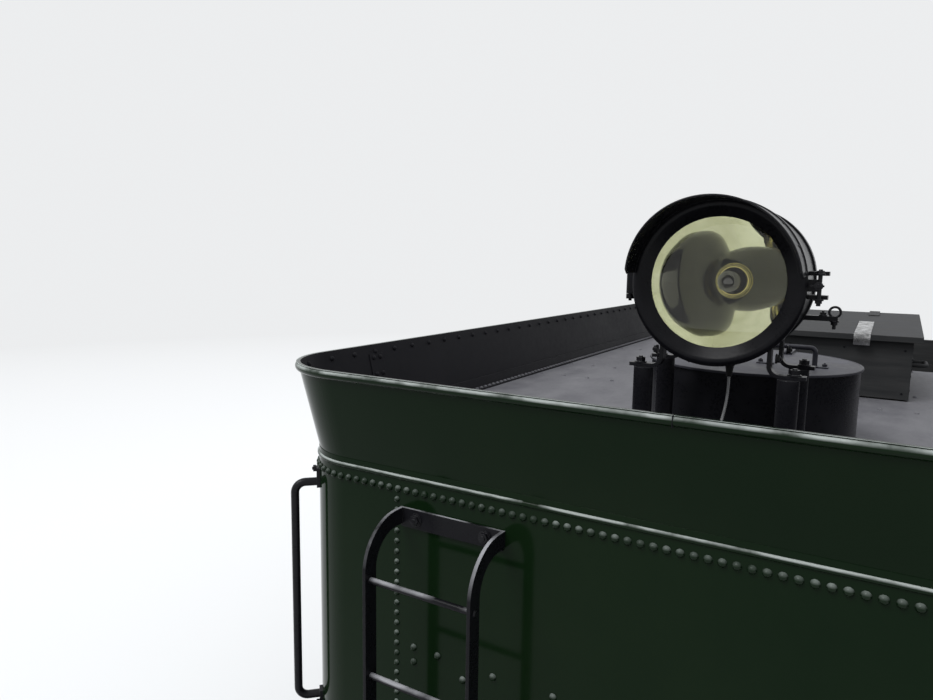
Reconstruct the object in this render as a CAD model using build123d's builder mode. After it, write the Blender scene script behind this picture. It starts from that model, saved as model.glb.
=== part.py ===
# Narrow-gauge steam locomotive tender on two arch-bar bogies.
# Millimetres, +X towards the engine, +Y to the left, +Z up; the wheel flanges stand on z = 0.
import os
from math import cos, radians, sin, sqrt

from build123d import *

# Running gear
gauge = 914
wheel_radius = 330
flange_height = 25
flange_thickness = 27
wheel_width = 127
tread_taper = 5
flange_clearance = 28
rim_depth = 48
hub_radius = 104
hub_overhang = 11
plate_thickness = 27
plate_offset = 34
plate_dish = 26
axle_radius = 62
journal_radius = 48
journal_spacing = 1380
journal_length = 170
end_float = 12
wheelbase = 1400

# Bogie frame
bar_width = 90
bar_thickness = 25
bar_bend = 60
bar_overrun = 30
bar_run = 20
box_length = 200
box_height = 240
box_clearance = 44
box_round = 18
box_taper = 18
box_lid = 12
box_end_wall = 21
bearing_clearance = 1
journal_end_gap = 4
column_gap = 280
column_thickness = 36
column_foot = 26
bolster_width = 240
bolster_depth = 170
bolster_belly = 30
bolster_rise = 15
bolster_overhang = 20
spring_height = 170
spring_radius = 56
spring_wire = 12
spring_turns = 5
spring_offset = 62
plank_flange = 45
plank_thickness = 10
shoe_gap = 6
shoe_thickness = 38
shoe_width = 76
shoe_height = 250
brake_beam_radius = 26
hanger_width = 40
hanger_thickness = 14
centre_plate_radius = 130
centre_plate_wall = 32
centre_plate_rim = 36
centre_plate_height = 55
bowl_depth = 20
bowl_clearance = 4
centre_pin_radius = 22
side_bearing_offset = 560
side_bearing_width = 90
side_bearing_height = 36
side_bearing_gap = 8

# Underframe
sill_depth = 230
sill_flange = 75
sill_web = 12
side_sill_inset = 25
centre_sill_offset = 130
bearer_plate = 16
beam_thickness = 220
beam_inset = 20
beam_chamfer = 10
beam_overhang = 200
bolster_drop = 60
body_bolster_width = 260
body_bolster_edge = 24
bogie_position = 0.2128  # share of the tank's length
pin_clearance = 1

# Tank
tank_length = 4700
tank_width = 2200
tank_height = 1000
rear_corner_radius = 208
front_run_on = 400
deck_plate = 8
coal_width = 1400
coal_start = 2750
coal_floor_run = 1150
coal_floor_height = 60
coal_lip = 100
board_thickness = 40
board_height = 170
board_gap = 2
board_inset = 100

# Coping, beads and straps
coping_height = 238
coping_flare = 59
coping_plate = 8
rim_height = 24
rim_depth_out = 7
waist_drop = 30
waist_height = 13
waist_depth_out = 6
splice_at = 450
splice_gap = 1
splice_width = 72
splice_plate = 3
splice_drop = 30

# Filler
filler_at = 848
filler_radius = 294
filler_wall = 8
filler_flange = 36
filler_flange_plate = 8
filler_lid_radius = 300
filler_lid_plate = 6
filler_top = 241
filler_strap_offset = 72
filler_strap_width = 36
filler_strap_plate = 8
filler_hinge_radius = 7
filler_hinge_drop = 16
filler_hinge_out = 22
filler_handle_radius = 7
filler_handle_height = 58
filler_handle_width = 118
filler_handle_back = 60
filler_handle_at = 178

# Toolbox
toolbox_rear = 1784
toolbox_length = 810
toolbox_half_width = 436
toolbox_board = 22
toolbox_skid = 6
toolbox_rear_height = 259
toolbox_rise = 36
toolbox_overhang = 30
toolbox_hinge_out = 14
toolbox_hinge_drop = 12
toolbox_hinge_radius = 6
toolbox_strap_offset = 280
toolbox_strap_width = 44
toolbox_strap_length = 160
toolbox_strap_plate = 6
toolbox_handle_radius = 8
toolbox_handle_reach = 52
toolbox_handle_width = 120

# Lamp
lamp_face = 264
lamp_height = 488
lamp_ring_radius = 195
lamp_ring_depth = 30
lamp_glass_radius = 155
lamp_glass_plate = 5
lamp_glass_dome = 16
lamp_bezel_lip = 3
lamp_bead = 18
lamp_drum_radius = 186
lamp_drum_length = 250
lamp_drum_back = 30
lamp_plate = 3
visor_reach = 104
visor_side_reach = 67
visor_radius = 192
visor_end_height = 19
visor_end_round = 25
reflector_depth = 180
reflector_neck = 30
reflector_set_back = 20
bulb_radius = 27
bulb_neck = 16
door_hinge_offset = 207
door_pin_radius = 4
door_knuckle_radius = 10
door_knuckle_height = 12
hinge_lug_height = 66
hinge_lug_depth = 18
clasp_height = 26
clasp_reach = 38
strap_width = 26
strap_tab_reach = 58
strap_tab_drop = 86
strap_back = 18
post_radius = 24
post_spread = 167
post_rear = 303
post_front = 503
post_height = 282
post_flange = 22
post_flange_plate = 10
bracket_bar = 26
bracket_shift = 9
bracket_plate = 9
bracket_foot = 36
bracket_leg = 128
bracket_bend = 20
lead_radius = 5
lead_at = 380
lead_offset = 24
lead_bend = 60

# Ladder and grab irons
ladder_offset = 542
ladder_width = 307
ladder_standoff = 139
ladder_bar = 9
ladder_bar_depth = 42
ladder_bend = 125
ladder_top_drop = 107
ladder_top_bar = 50
ladder_top_plate = 8
rung_radius = 8
rung_pitch = 252
first_rung_drop = 254
grab_radius = 12
grab_bend = 30
grab_standoff = 72
grab_top_drop = 120
grab_length = 670
grab_foot_length = 58
grab_foot_width = 32
grab_foot_plate = 10
rail_inset = 70
rail_standoff = 45
rail_end_drop = 80
rail_end_rise = 120

# Couplings
coupler_drop = 92
coupler_reach = 360
knuckle_height = 150
knuckle_round = 42
knuckle_nose = 65
coupler_lug = 25
lug_radius = 45
pin_reach = 235
pin_offset = 85
throat_reach = 190
guard_width = 155
guard_thickness = 48
head_neck = 60
shank_width = 120
shank_height = 120
shank_end = 20
pocket_plate = 15
pocket_length = 400
pocket_side = 35
knuckle_pin_radius = 16
knuckle_pin_head = 12
cavity_reach = 140
cavity_side = 12
lever_radius = 9
lever_standoff = 30
lever_start = 60
lever_end = 980
lever_drop = 60
lever_handle = 200
lever_bracket = 44
drawbar_pin_radius = 25
drawbar_pin_at = 100
drawbar_length = 420
drawbar_width = 90
drawbar_eye = 70
drawbar_thickness = 50
drawbar_jaw_plate = 25
drawbar_jaw_width = 220
drawbar_jaw_length = 240

# Fittings
step_width = 220
step_bar = 15
step_plate = 12
step_tread = 160
front_step_drop = 420
rear_step_drop = 330
step_set_back = 110
brake_column_radius = 17
brake_column_offset = 480
brake_column_at = 120
brake_top_drop = 120
brake_wheel_radius = 140
brake_wheel_rim = 10
pipe_radius = 34
pipe_flange = 22
pipe_inset = 300
pipe_set_back = 100
pipe_drop = 110
pipe_bend = 90
pipe_reach = 30
reservoir_radius = 120
reservoir_drop = 150
reservoir_inset = 215
reservoir_clearance = 170
reservoir_strap = 50
cylinder_radius = 115
cylinder_drop = 130
cylinder_offset = 520
cylinder_clearance = 85
seat_gap = 0.3

# Levels and lengths worked out from the sizes above
axle_z = wheel_radius + flange_height
bar_y = journal_spacing / 2
box_top = axle_z + box_height / 2
box_bottom = axle_z - box_height / 2
arch_low = box_bottom
plank_top = arch_low + 2 * bar_thickness
bolster_bottom = plank_top + spring_height
bolster_top = bolster_bottom + bolster_depth
arch_high = bolster_top + bolster_rise
bowl_floor = bolster_top + centre_plate_wall - bowl_depth
bolster_seat = bowl_floor + centre_plate_height
frame_bottom = bolster_seat + bolster_drop
frame_top = frame_bottom + sill_depth
deck_z = frame_top + tank_height
tank_top = deck_z - deck_plate
rear_reach = beam_overhang + coupler_reach
front_reach = drawbar_pin_at + drawbar_length + drawbar_eye
tank_rear = (rear_reach - front_reach - tank_length) / 2
tank_front = tank_rear + tank_length
rear_beam_face = tank_rear - beam_overhang
front_beam_face = tank_front + beam_overhang
side_sill_y = tank_width / 2 - side_sill_inset
bogie_inset = tank_length * bogie_position
coupler_height = frame_bottom - coupler_drop
wheel_gap = tank_length - 2 * bogie_inset - wheelbase - 2 * (wheel_radius + flange_height)
bogie_places = {"rear": tank_rear + bogie_inset, "front": tank_front - bogie_inset}


def tank_outline(grow, radius):
    """Rounded plan of the tank grown by a margin; it runs on past the open front."""
    with BuildSketch() as outline:
        with Locations((tank_rear + (tank_length + front_run_on) / 2 - grow / 2, 0)):
            RectangleRounded(tank_length + front_run_on + grow, tank_width + 2 * grow, radius)
    return outline.sketch


def flared_shell(inset, beyond=0):
    """Solid bounded by the flared coping sheet, moved inwards by inset and run on beyond its top."""
    flare = coping_flare * (1 + beyond / (coping_height + deck_plate))
    with BuildPart() as shell:
        with BuildSketch(Plane.XY.offset(tank_top)):
            add(tank_outline(-inset, rear_corner_radius - inset))
        with BuildSketch(Plane.XY.offset(deck_z + coping_height + beyond)):
            add(tank_outline(flare - inset, rear_corner_radius + flare - inset))
        loft(ruled=True)
    return shell.part


def round_bar(points, radius, bend):
    """Round bar bent along points."""
    with BuildPart() as bar:
        with BuildLine() as path:
            FilletPolyline(*points, radius=bend)
        with BuildSketch(Plane(origin=path.line @ 0, z_dir=path.line % 0)):
            Circle(radius)
        sweep()
    return bar.part


def save(builder, name):
    builder.part.label = name
    export_step(builder.part, f"parts/{name}.step")


os.makedirs("parts", exist_ok=True)

# Wheelset: two dished plate wheels pressed on one axle
wheel_back = gauge / 2 - flange_clearance
wheel_face = wheel_back + wheel_width
rim_inner = wheel_radius - rim_depth
plate_middle = (hub_radius + rim_inner) / 2
plate_start = wheel_back + plate_offset
axle_end = bar_y + journal_length / 2 + end_float
with BuildPart() as wheelset:
    with BuildSketch():
        with BuildLine():
            Polyline(
                (0, 0),
                (axle_radius, 0),
                (axle_radius, wheel_back - hub_overhang),
                (hub_radius, wheel_back - hub_overhang),
                (hub_radius, plate_start),
            )
            ThreePointArc(
                (hub_radius, plate_start),
                (plate_middle, plate_start + plate_dish),
                (rim_inner, plate_start),
            )
            Polyline(
                (rim_inner, plate_start),
                (rim_inner, wheel_back),
                (wheel_radius + flange_height / 3, wheel_back),
            )
            ThreePointArc(
                (wheel_radius + flange_height / 3, wheel_back),
                (wheel_radius + flange_height, wheel_back + 0.45 * flange_thickness),
                (wheel_radius + flange_height / 4, wheel_back + flange_thickness),
            )
            Polyline(
                (wheel_radius + flange_height / 4, wheel_back + flange_thickness),
                (wheel_radius, wheel_back + 1.3 * flange_thickness),
                (wheel_radius - tread_taper, wheel_face),
                (rim_inner, wheel_face),
                (rim_inner, plate_start + plate_thickness),
            )
            ThreePointArc(
                (rim_inner, plate_start + plate_thickness),
                (plate_middle, plate_start + plate_dish + plate_thickness),
                (hub_radius, plate_start + plate_thickness),
            )
            Polyline(
                (hub_radius, plate_start + plate_thickness),
                (hub_radius, wheel_face + hub_overhang),
                (axle_radius, wheel_face + hub_overhang),
                (axle_radius, wheel_face + 2 * hub_overhang),
                (journal_radius, wheel_face + 2 * hub_overhang),
                (journal_radius, axle_end),
                (0, axle_end),
                (0, 0),
            )
        make_face()
    revolve(axis=Axis.Y)
    mirror(about=Plane.XZ)

for bogie_name, bogie_x in bogie_places.items():
    for side_name, direction in (("inner", 1), ("outer", -1)):
        toward_middle = direction if bogie_name == "rear" else -direction
        with BuildPart() as placed_wheelset:
            with Locations((bogie_x + toward_middle * wheelbase / 2, 0, axle_z)):
                add(wheelset.part)
        save(placed_wheelset, f"{bogie_name}_bogie_{side_name}_wheelset")

# Bogie side frames: arch bar, inverted arch bar, tie bar and the columns that guide the bolster
bar_reach = wheelbase / 2 + box_length / 2 + bar_overrun
bend_out = wheelbase / 2 - box_length / 2 - bar_thickness
bend_in = column_gap / 2 + column_thickness + bar_run
column_low = arch_low + bar_thickness
column_x = (column_gap + column_thickness) / 2
with BuildPart() as side_frames:
    for side in (1, -1):
        with BuildSketch(Plane.XZ.offset(-side * bar_y)):
            for low_outside, low_inside in (
                (box_top + bar_thickness, arch_high),
                (box_top, arch_low),
            ):
                with BuildLine():
                    FilletPolyline(
                        (-bar_reach, low_outside),
                        (-bend_out, low_outside),
                        (-bend_in, low_inside),
                        (bend_in, low_inside),
                        (bend_out, low_outside),
                        (bar_reach, low_outside),
                        radius=bar_bend,
                    )
                    offset(amount=bar_thickness, side=Side.LEFT)
                make_face()
            with Locations((0, box_bottom - bar_thickness / 2)):
                Rectangle(2 * bar_reach, bar_thickness)
            for end in (1, -1):
                with Locations((end * column_x, (column_low + arch_high) / 2)):
                    Rectangle(column_thickness, arch_high - column_low)
                for foot_z in (column_low + column_foot / 2, arch_high - column_foot / 2):
                    with Locations((end * (column_x + column_foot / 2), foot_z)):
                        Rectangle(column_thickness + column_foot, column_foot)
        extrude(amount=bar_width / 2, both=True)

# Journal boxes, bored for the journals, with a tapered front and a sprung lid
box_inner = wheel_face + box_clearance
bore_end = axle_end + journal_end_gap
box_outer = bore_end + box_end_wall
taper_start = bar_y + bar_width / 2 + box_lid
with BuildPart() as journal_boxes:
    for side in (1, -1):
        for end in (1, -1):
            box_x = end * wheelbase / 2
            with BuildSketch(Plane.XZ.offset(-side * box_inner)):
                with Locations((box_x, axle_z)):
                    RectangleRounded(box_length, box_height, box_round)
            extrude(amount=-side * (taper_start - box_inner))
            with BuildSketch(Plane.XZ.offset(-side * taper_start)):
                with Locations((box_x, axle_z)):
                    RectangleRounded(box_length, box_height, box_round)
            with BuildSketch(Plane.XZ.offset(-side * box_outer)):
                with Locations((box_x, axle_z)):
                    RectangleRounded(box_length - 2 * box_taper, box_height - 2 * box_taper, box_round)
            loft(ruled=True)
            with BuildSketch(Plane.XZ.offset(-side * box_outer)):
                with Locations((box_x, axle_z - box_taper / 2)):
                    RectangleRounded(box_length - 3 * box_taper, box_height - 4 * box_taper, box_round)
            extrude(amount=-side * box_lid)
            with BuildSketch(Plane.XZ.offset(-side * (box_outer + box_lid))):
                with Locations((box_x, axle_z - box_taper / 2)):
                    Circle(axle_radius - box_lid)
            extrude(amount=-side * box_lid / 2)
            lid_y = side * (box_outer + box_lid / 2)
            with Locations((box_x, lid_y, box_top - 2 * box_taper)):
                Cylinder(box_lid * 0.8, box_length / 2, rotation=(0, 90, 0))
            with BuildSketch(Plane.XZ.offset(-side * box_inner)):
                with Locations((box_x, axle_z)):
                    Circle(journal_radius + bearing_clearance)
            extrude(amount=-side * (bore_end - box_inner), mode=Mode.SUBTRACT)

# Bogie bolster with centre bowl and side bearings
bolster_end = bar_y + bar_width / 2 + bolster_overhang
belly_start = bar_y - bar_width
belly_end = bar_y - 2.6 * bar_width
with BuildPart() as bogie_bolster:
    with BuildSketch(Plane.YZ):
        with BuildLine():
            Polyline(
                (-bolster_end, bolster_top - bolster_overhang),
                (-side_bearing_offset, bolster_top),
                (side_bearing_offset, bolster_top),
                (bolster_end, bolster_top - bolster_overhang),
                (bolster_end, bolster_bottom),
                (belly_start, bolster_bottom),
                (belly_end, bolster_bottom - bolster_belly),
                (-belly_end, bolster_bottom - bolster_belly),
                (-belly_start, bolster_bottom),
                (-bolster_end, bolster_bottom),
                close=True,
            )
        make_face()
    extrude(amount=bolster_width / 2, both=True)
    with BuildSketch(Plane.XY.offset(bolster_top)):
        Circle(centre_plate_radius + centre_plate_rim)
    extrude(amount=centre_plate_wall)
    with BuildSketch(Plane.XY.offset(bowl_floor)):
        Circle(centre_plate_radius + bowl_clearance)
    extrude(amount=2 * bowl_depth, mode=Mode.SUBTRACT)
    with BuildSketch(Plane.XY.offset(bolster_bottom - 2 * bolster_belly)):
        Circle(centre_pin_radius + pin_clearance)
    extrude(amount=2 * bolster_depth, mode=Mode.SUBTRACT)
    with Locations((0, side_bearing_offset, bolster_top), (0, -side_bearing_offset, bolster_top)):
        Box(
            bolster_width - 2 * bolster_belly,
            side_bearing_width,
            side_bearing_height,
            align=(Align.CENTER, Align.CENTER, Align.MIN),
        )

# Spring plank: a channel laid across the inverted arch bars
plank_bottom = plank_top - bar_thickness
plank_half = column_gap / 2 - 5
with BuildPart() as spring_plank:
    with BuildSketch(Plane.XZ):
        with Locations((0, (plank_bottom + plank_top) / 2)):
            Rectangle(2 * plank_half, plank_top - plank_bottom)
        for end in (1, -1):
            with Locations((end * (plank_half - plank_thickness / 2), plank_top + plank_flange / 2)):
                Rectangle(plank_thickness, plank_flange)
    extrude(amount=bar_y + bar_width / 2, both=True)

# Coil springs between the plank and the bolster's ends, ground flat on their seats
coil_radius = spring_radius - spring_wire
coil_height = spring_height - spring_wire
with BuildPart() as coil_spring:
    with BuildLine() as coil_line:
        Helix(pitch=coil_height / spring_turns, height=coil_height, radius=coil_radius)
    with BuildSketch(Plane(origin=coil_line.line @ 0, z_dir=coil_line.line % 0)):
        Circle(spring_wire)
    sweep(is_frenet=True)
    with Locations((0, 0, -spring_wire / 2)):
        Box(
            3 * spring_radius,
            3 * spring_radius,
            spring_height,
            align=(Align.CENTER, Align.CENTER, Align.MIN),
            mode=Mode.INTERSECT,
        )
with BuildPart() as bogie_springs:
    with Locations((0, 0, plank_top + spring_wire / 2)):
        with GridLocations(2 * spring_offset, 2 * bar_y, 2, 2):
            add(coil_spring.part)

# Brake beams with curved shoes and the hangers that hold them on the side frames
shoe_inner = wheel_radius + shoe_gap
shoe_outer = shoe_inner + shoe_thickness
beam_x = wheelbase / 2 - shoe_outer - brake_beam_radius
shoe_y = (wheel_back + wheel_face + flange_thickness) / 2
hanger_y = bar_y - bar_width / 2 - hanger_thickness / 2
with BuildPart() as brake_gear:
    for end in (1, -1):
        with Locations((end * beam_x, 0, axle_z)):
            Cylinder(brake_beam_radius, 2 * bar_y - bar_width, rotation=(90, 0, 0))
        for side in (1, -1):
            with BuildSketch(Plane.XZ.offset(-side * shoe_y)):
                with Locations((end * wheelbase / 2, axle_z)):
                    Circle(shoe_outer)
                    Circle(shoe_inner, mode=Mode.SUBTRACT)
                with Locations((end * (wheelbase / 2 - shoe_inner - shoe_thickness / 2), axle_z)):
                    Rectangle(3 * shoe_thickness, shoe_height, mode=Mode.INTERSECT)
            extrude(amount=shoe_width / 2, both=True)
            with Locations((end * beam_x, side * hanger_y, axle_z - brake_beam_radius)):
                Box(
                    hanger_width,
                    hanger_thickness,
                    arch_high - axle_z + brake_beam_radius,
                    align=(Align.CENTER, Align.CENTER, Align.MIN),
                )

for bogie_name, bogie_x in bogie_places.items():
    for piece_name, piece in (
        ("side_frames", side_frames),
        ("journal_boxes", journal_boxes),
        ("bolster", bogie_bolster),
        ("spring_plank", spring_plank),
        ("springs", bogie_springs),
        ("brake_gear", brake_gear),
    ):
        with BuildPart() as placed_piece:
            with Locations((bogie_x, 0, 0)):
                add(piece.part)
        save(placed_piece, f"{bogie_name}_bogie_{piece_name}")

# Body bolsters with centre plates, pins and side bearings
bolster_edge = frame_bottom - body_bolster_edge
bearing_top = bolster_top + side_bearing_height + side_bearing_gap
with BuildPart() as body_bolsters:
    for bogie_x in bogie_places.values():
        with BuildSketch(Plane.YZ.offset(bogie_x)):
            with BuildLine():
                Polyline(
                    (-side_sill_y, frame_bottom),
                    (side_sill_y, frame_bottom),
                    (side_sill_y, bolster_edge),
                    (side_bearing_offset - body_bolster_width / 4, bolster_seat),
                    (body_bolster_width / 4 - side_bearing_offset, bolster_seat),
                    (-side_sill_y, bolster_edge),
                    close=True,
                )
            make_face()
        extrude(amount=body_bolster_width / 2, both=True)
        with BuildSketch(Plane.XY.offset(bowl_floor + seat_gap)):
            with Locations((bogie_x, 0)):
                Circle(centre_plate_radius)
        extrude(until=Until.NEXT)
        with BuildSketch(Plane.XY.offset(bolster_bottom - bolster_belly)):
            with Locations((bogie_x, 0)):
                Circle(centre_pin_radius)
        extrude(amount=bolster_seat - bolster_bottom + bolster_belly)
        with BuildSketch(Plane.XY.offset(bearing_top)):
            with Locations((bogie_x, side_bearing_offset), (bogie_x, -side_bearing_offset)):
                Rectangle(bolster_width - 2 * bolster_belly, side_bearing_width)
        extrude(amount=frame_bottom - bearing_top)

# Channel sills, side and centre, between the end beams
sill_start = rear_beam_face + beam_thickness
sill_end = front_beam_face - beam_thickness
with BuildPart() as frame_sills:
    for side in (1, -1):
        for web_y, flange_way in (
            (side * side_sill_y, -side),
            (side * centre_sill_offset, side),
        ):
            with BuildSketch(Plane.YZ.offset(sill_start)):
                with BuildLine():
                    Polyline(
                        (web_y, frame_bottom),
                        (web_y + flange_way * sill_flange, frame_bottom),
                        (web_y + flange_way * sill_flange, frame_bottom + sill_web),
                        (web_y + flange_way * sill_web, frame_bottom + sill_web),
                        (web_y + flange_way * sill_web, frame_top - sill_web),
                        (web_y + flange_way * sill_flange, frame_top - sill_web),
                        (web_y + flange_way * sill_flange, frame_top),
                        (web_y, frame_top),
                        close=True,
                    )
                make_face()
            extrude(amount=sill_end - sill_start)

# Cross bearers between the bogies
bearer_places = [tank_rear + share * tank_length for share in (0.38, 0.5, 0.62)]
bearer_inner = centre_sill_offset + sill_web
bearer_outer = side_sill_y - sill_web
with BuildPart() as cross_bearers:
    for bearer_x in bearer_places:
        for side in (1, -1):
            bearer_y = side * (bearer_inner + bearer_outer) / 2
            with Locations((bearer_x, bearer_y, (frame_bottom + frame_top) / 2)):
                Box(bearer_plate, bearer_outer - bearer_inner, sill_depth - 2 * sill_web)

# End beams of timber with worn corners
with BuildPart() as end_beams:
    for beam_start in (rear_beam_face, sill_end):
        with Locations((beam_start + beam_thickness / 2, 0, (frame_bottom + frame_top) / 2)):
            Box(beam_thickness, tank_width - 2 * beam_inset, sill_depth)
    chamfer(end_beams.edges().filter_by(Axis.Y), beam_chamfer)

# Tank: rounded at the rear, with the coal space open to the front
coal_floor_z = frame_top + coal_floor_height
with BuildPart() as tank_body:
    with BuildSketch(Plane.XY.offset(frame_top)):
        add(tank_outline(0, rear_corner_radius))
    extrude(amount=tank_height - deck_plate)
    split(bisect_by=Plane.YZ.offset(tank_front), keep=Keep.BOTTOM)
    with BuildSketch(Plane.XZ):
        with BuildLine():
            Polyline(
                (tank_rear + coal_start, tank_top),
                (tank_rear + coal_start + coal_floor_run, coal_floor_z),
                (tank_front + coal_lip, coal_floor_z),
                (tank_front + coal_lip, tank_top + coal_lip),
                (tank_rear + coal_start, tank_top + coal_lip),
                close=True,
            )
        make_face()
    extrude(amount=coal_width / 2, both=True, mode=Mode.SUBTRACT)

# Deck plate, cut away over the coal space and inside the filler
with BuildPart() as tank_deck:
    with BuildSketch(Plane.XY.offset(tank_top)):
        add(tank_outline(-coping_plate, rear_corner_radius - coping_plate))
    extrude(amount=deck_plate)
    split(bisect_by=Plane.YZ.offset(tank_front), keep=Keep.BOTTOM)
    with Locations((tank_rear + coal_start, 0, tank_top)):
        Box(
            tank_length,
            coal_width,
            deck_plate,
            align=(Align.MIN, Align.CENTER, Align.MIN),
            mode=Mode.SUBTRACT,
        )
    with Locations((tank_rear + filler_at, 0, tank_top)):
        Cylinder(
            filler_radius - filler_wall,
            deck_plate,
            align=(Align.CENTER, Align.CENTER, Align.MIN),
            mode=Mode.SUBTRACT,
        )

# Coping: flared sheets, one round the rear and one along each side, butted at the splices
with BuildPart() as coping:
    add(flared_shell(0))
    add(flared_shell(coping_plate), mode=Mode.SUBTRACT)
    split(bisect_by=Plane.YZ.offset(tank_front), keep=Keep.BOTTOM)
    with Locations((tank_rear + splice_at, 0, tank_top)):
        Box(
            splice_gap,
            2 * tank_width,
            2 * coping_height,
            align=(Align.CENTER, Align.CENTER, Align.MIN),
            mode=Mode.SUBTRACT,
        )

# Half-round rim along the coping's top edge
with BuildPart() as coping_rim:
    with BuildSketch(Plane.XY.offset(deck_z + coping_height - rim_height)):
        add(tank_outline(coping_flare + rim_depth_out, rear_corner_radius + coping_flare))
    extrude(amount=rim_height)
    fillet(coping_rim.faces().filter_by(Axis.Z).edges(), rim_height * 0.36)
    split(bisect_by=Plane.YZ.offset(tank_front), keep=Keep.BOTTOM)
    add(flared_shell(0, rim_height), mode=Mode.SUBTRACT)

# Half-round waist bead below the coping
with BuildPart() as waist_bead:
    with BuildSketch(Plane.XY.offset(deck_z - waist_drop - waist_height / 2)):
        add(tank_outline(waist_depth_out, rear_corner_radius + waist_depth_out))
    extrude(amount=waist_height)
    fillet(waist_bead.faces().filter_by(Axis.Z).edges(), waist_height * 0.36)
    with BuildSketch(Plane.XY.offset(deck_z - waist_drop - waist_height)):
        add(tank_outline(0, rear_corner_radius))
    extrude(amount=2 * waist_height, mode=Mode.SUBTRACT)
    split(bisect_by=Plane.YZ.offset(tank_front), keep=Keep.BOTTOM)

# Splice straps inside the coping
with BuildPart() as coping_splices:
    add(flared_shell(coping_plate))
    add(flared_shell(coping_plate + splice_plate), mode=Mode.SUBTRACT)
    with Locations((tank_rear + splice_at, 0, deck_z)):
        Box(
            splice_width,
            2 * tank_width,
            coping_height - splice_drop,
            align=(Align.CENTER, Align.CENTER, Align.MIN),
            mode=Mode.INTERSECT,
        )

# Filler neck and its lid, hinged at the front
filler_x = tank_rear + filler_at
neck_top = deck_z + filler_top - filler_lid_plate - seat_gap
lid_bottom = neck_top + seat_gap
hinge_x = filler_x + filler_lid_radius + filler_hinge_out
hinge_z = neck_top - filler_hinge_drop
hinge_boss = 2.2 * filler_hinge_radius
with BuildPart() as filler_neck:
    with BuildSketch(Plane.XY.offset(deck_z)):
        with Locations((filler_x, 0)):
            Circle(filler_radius + filler_flange)
            Circle(filler_radius - filler_wall, mode=Mode.SUBTRACT)
    extrude(amount=filler_flange_plate)
    with BuildSketch(Plane.XY.offset(deck_z)):
        with Locations((filler_x, 0)):
            Circle(filler_radius)
            Circle(filler_radius - filler_wall, mode=Mode.SUBTRACT)
    extrude(amount=neck_top - deck_z)
    with Locations((filler_x + filler_radius - filler_wall / 2, 0, hinge_z - 1.5 * hinge_boss)):
        Box(
            hinge_x - filler_x - filler_radius + filler_wall / 2,
            filler_strap_offset,
            2 * hinge_boss,
            align=(Align.MIN, Align.CENTER, Align.MIN),
        )
    with Locations((hinge_x, 0, hinge_z)):
        Cylinder(
            filler_hinge_radius,
            2 * filler_strap_offset + 1.5 * filler_strap_width,
            rotation=(90, 0, 0),
        )

strap_start = filler_x + 0.63 * filler_lid_radius
strap_top = lid_bottom + filler_lid_plate + filler_strap_plate
handle_x = filler_x - filler_handle_back
handle_start = -filler_handle_at
handle_foot = lid_bottom + filler_lid_plate / 2
with BuildPart() as filler_lid:
    with BuildSketch(Plane.XY.offset(lid_bottom)):
        with Locations((filler_x, 0)):
            Circle(filler_lid_radius)
    extrude(amount=filler_lid_plate)
    for side in (1, -1):
        with BuildSketch(Plane.XZ.offset(-side * filler_strap_offset)):
            with BuildLine():
                Polyline(
                    (strap_start, lid_bottom + filler_lid_plate),
                    (strap_start, strap_top),
                    (hinge_x + 0.8 * hinge_boss, strap_top),
                    (hinge_x + hinge_boss, hinge_z),
                )
                ThreePointArc(
                    (hinge_x + hinge_boss, hinge_z),
                    (hinge_x, hinge_z - hinge_boss),
                    (hinge_x - hinge_boss, hinge_z),
                )
                Polyline(
                    (hinge_x - hinge_boss, hinge_z),
                    (hinge_x - 0.8 * hinge_boss, lid_bottom),
                    (filler_x + 0.9 * filler_lid_radius, lid_bottom),
                    (strap_start, lid_bottom + filler_lid_plate),
                )
            make_face()
            with Locations((hinge_x, hinge_z)):
                Circle(filler_hinge_radius + pin_clearance, mode=Mode.SUBTRACT)
        extrude(amount=filler_strap_width / 2, both=True)
    add(
        round_bar(
            [
                (handle_x, handle_start, handle_foot),
                (handle_x, handle_start, handle_foot + filler_handle_height),
                (handle_x, handle_start + filler_handle_width, handle_foot + filler_handle_height),
                (handle_x, handle_start + filler_handle_width, handle_foot),
            ],
            filler_handle_radius,
            2 * filler_handle_radius,
        )
    )

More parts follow.
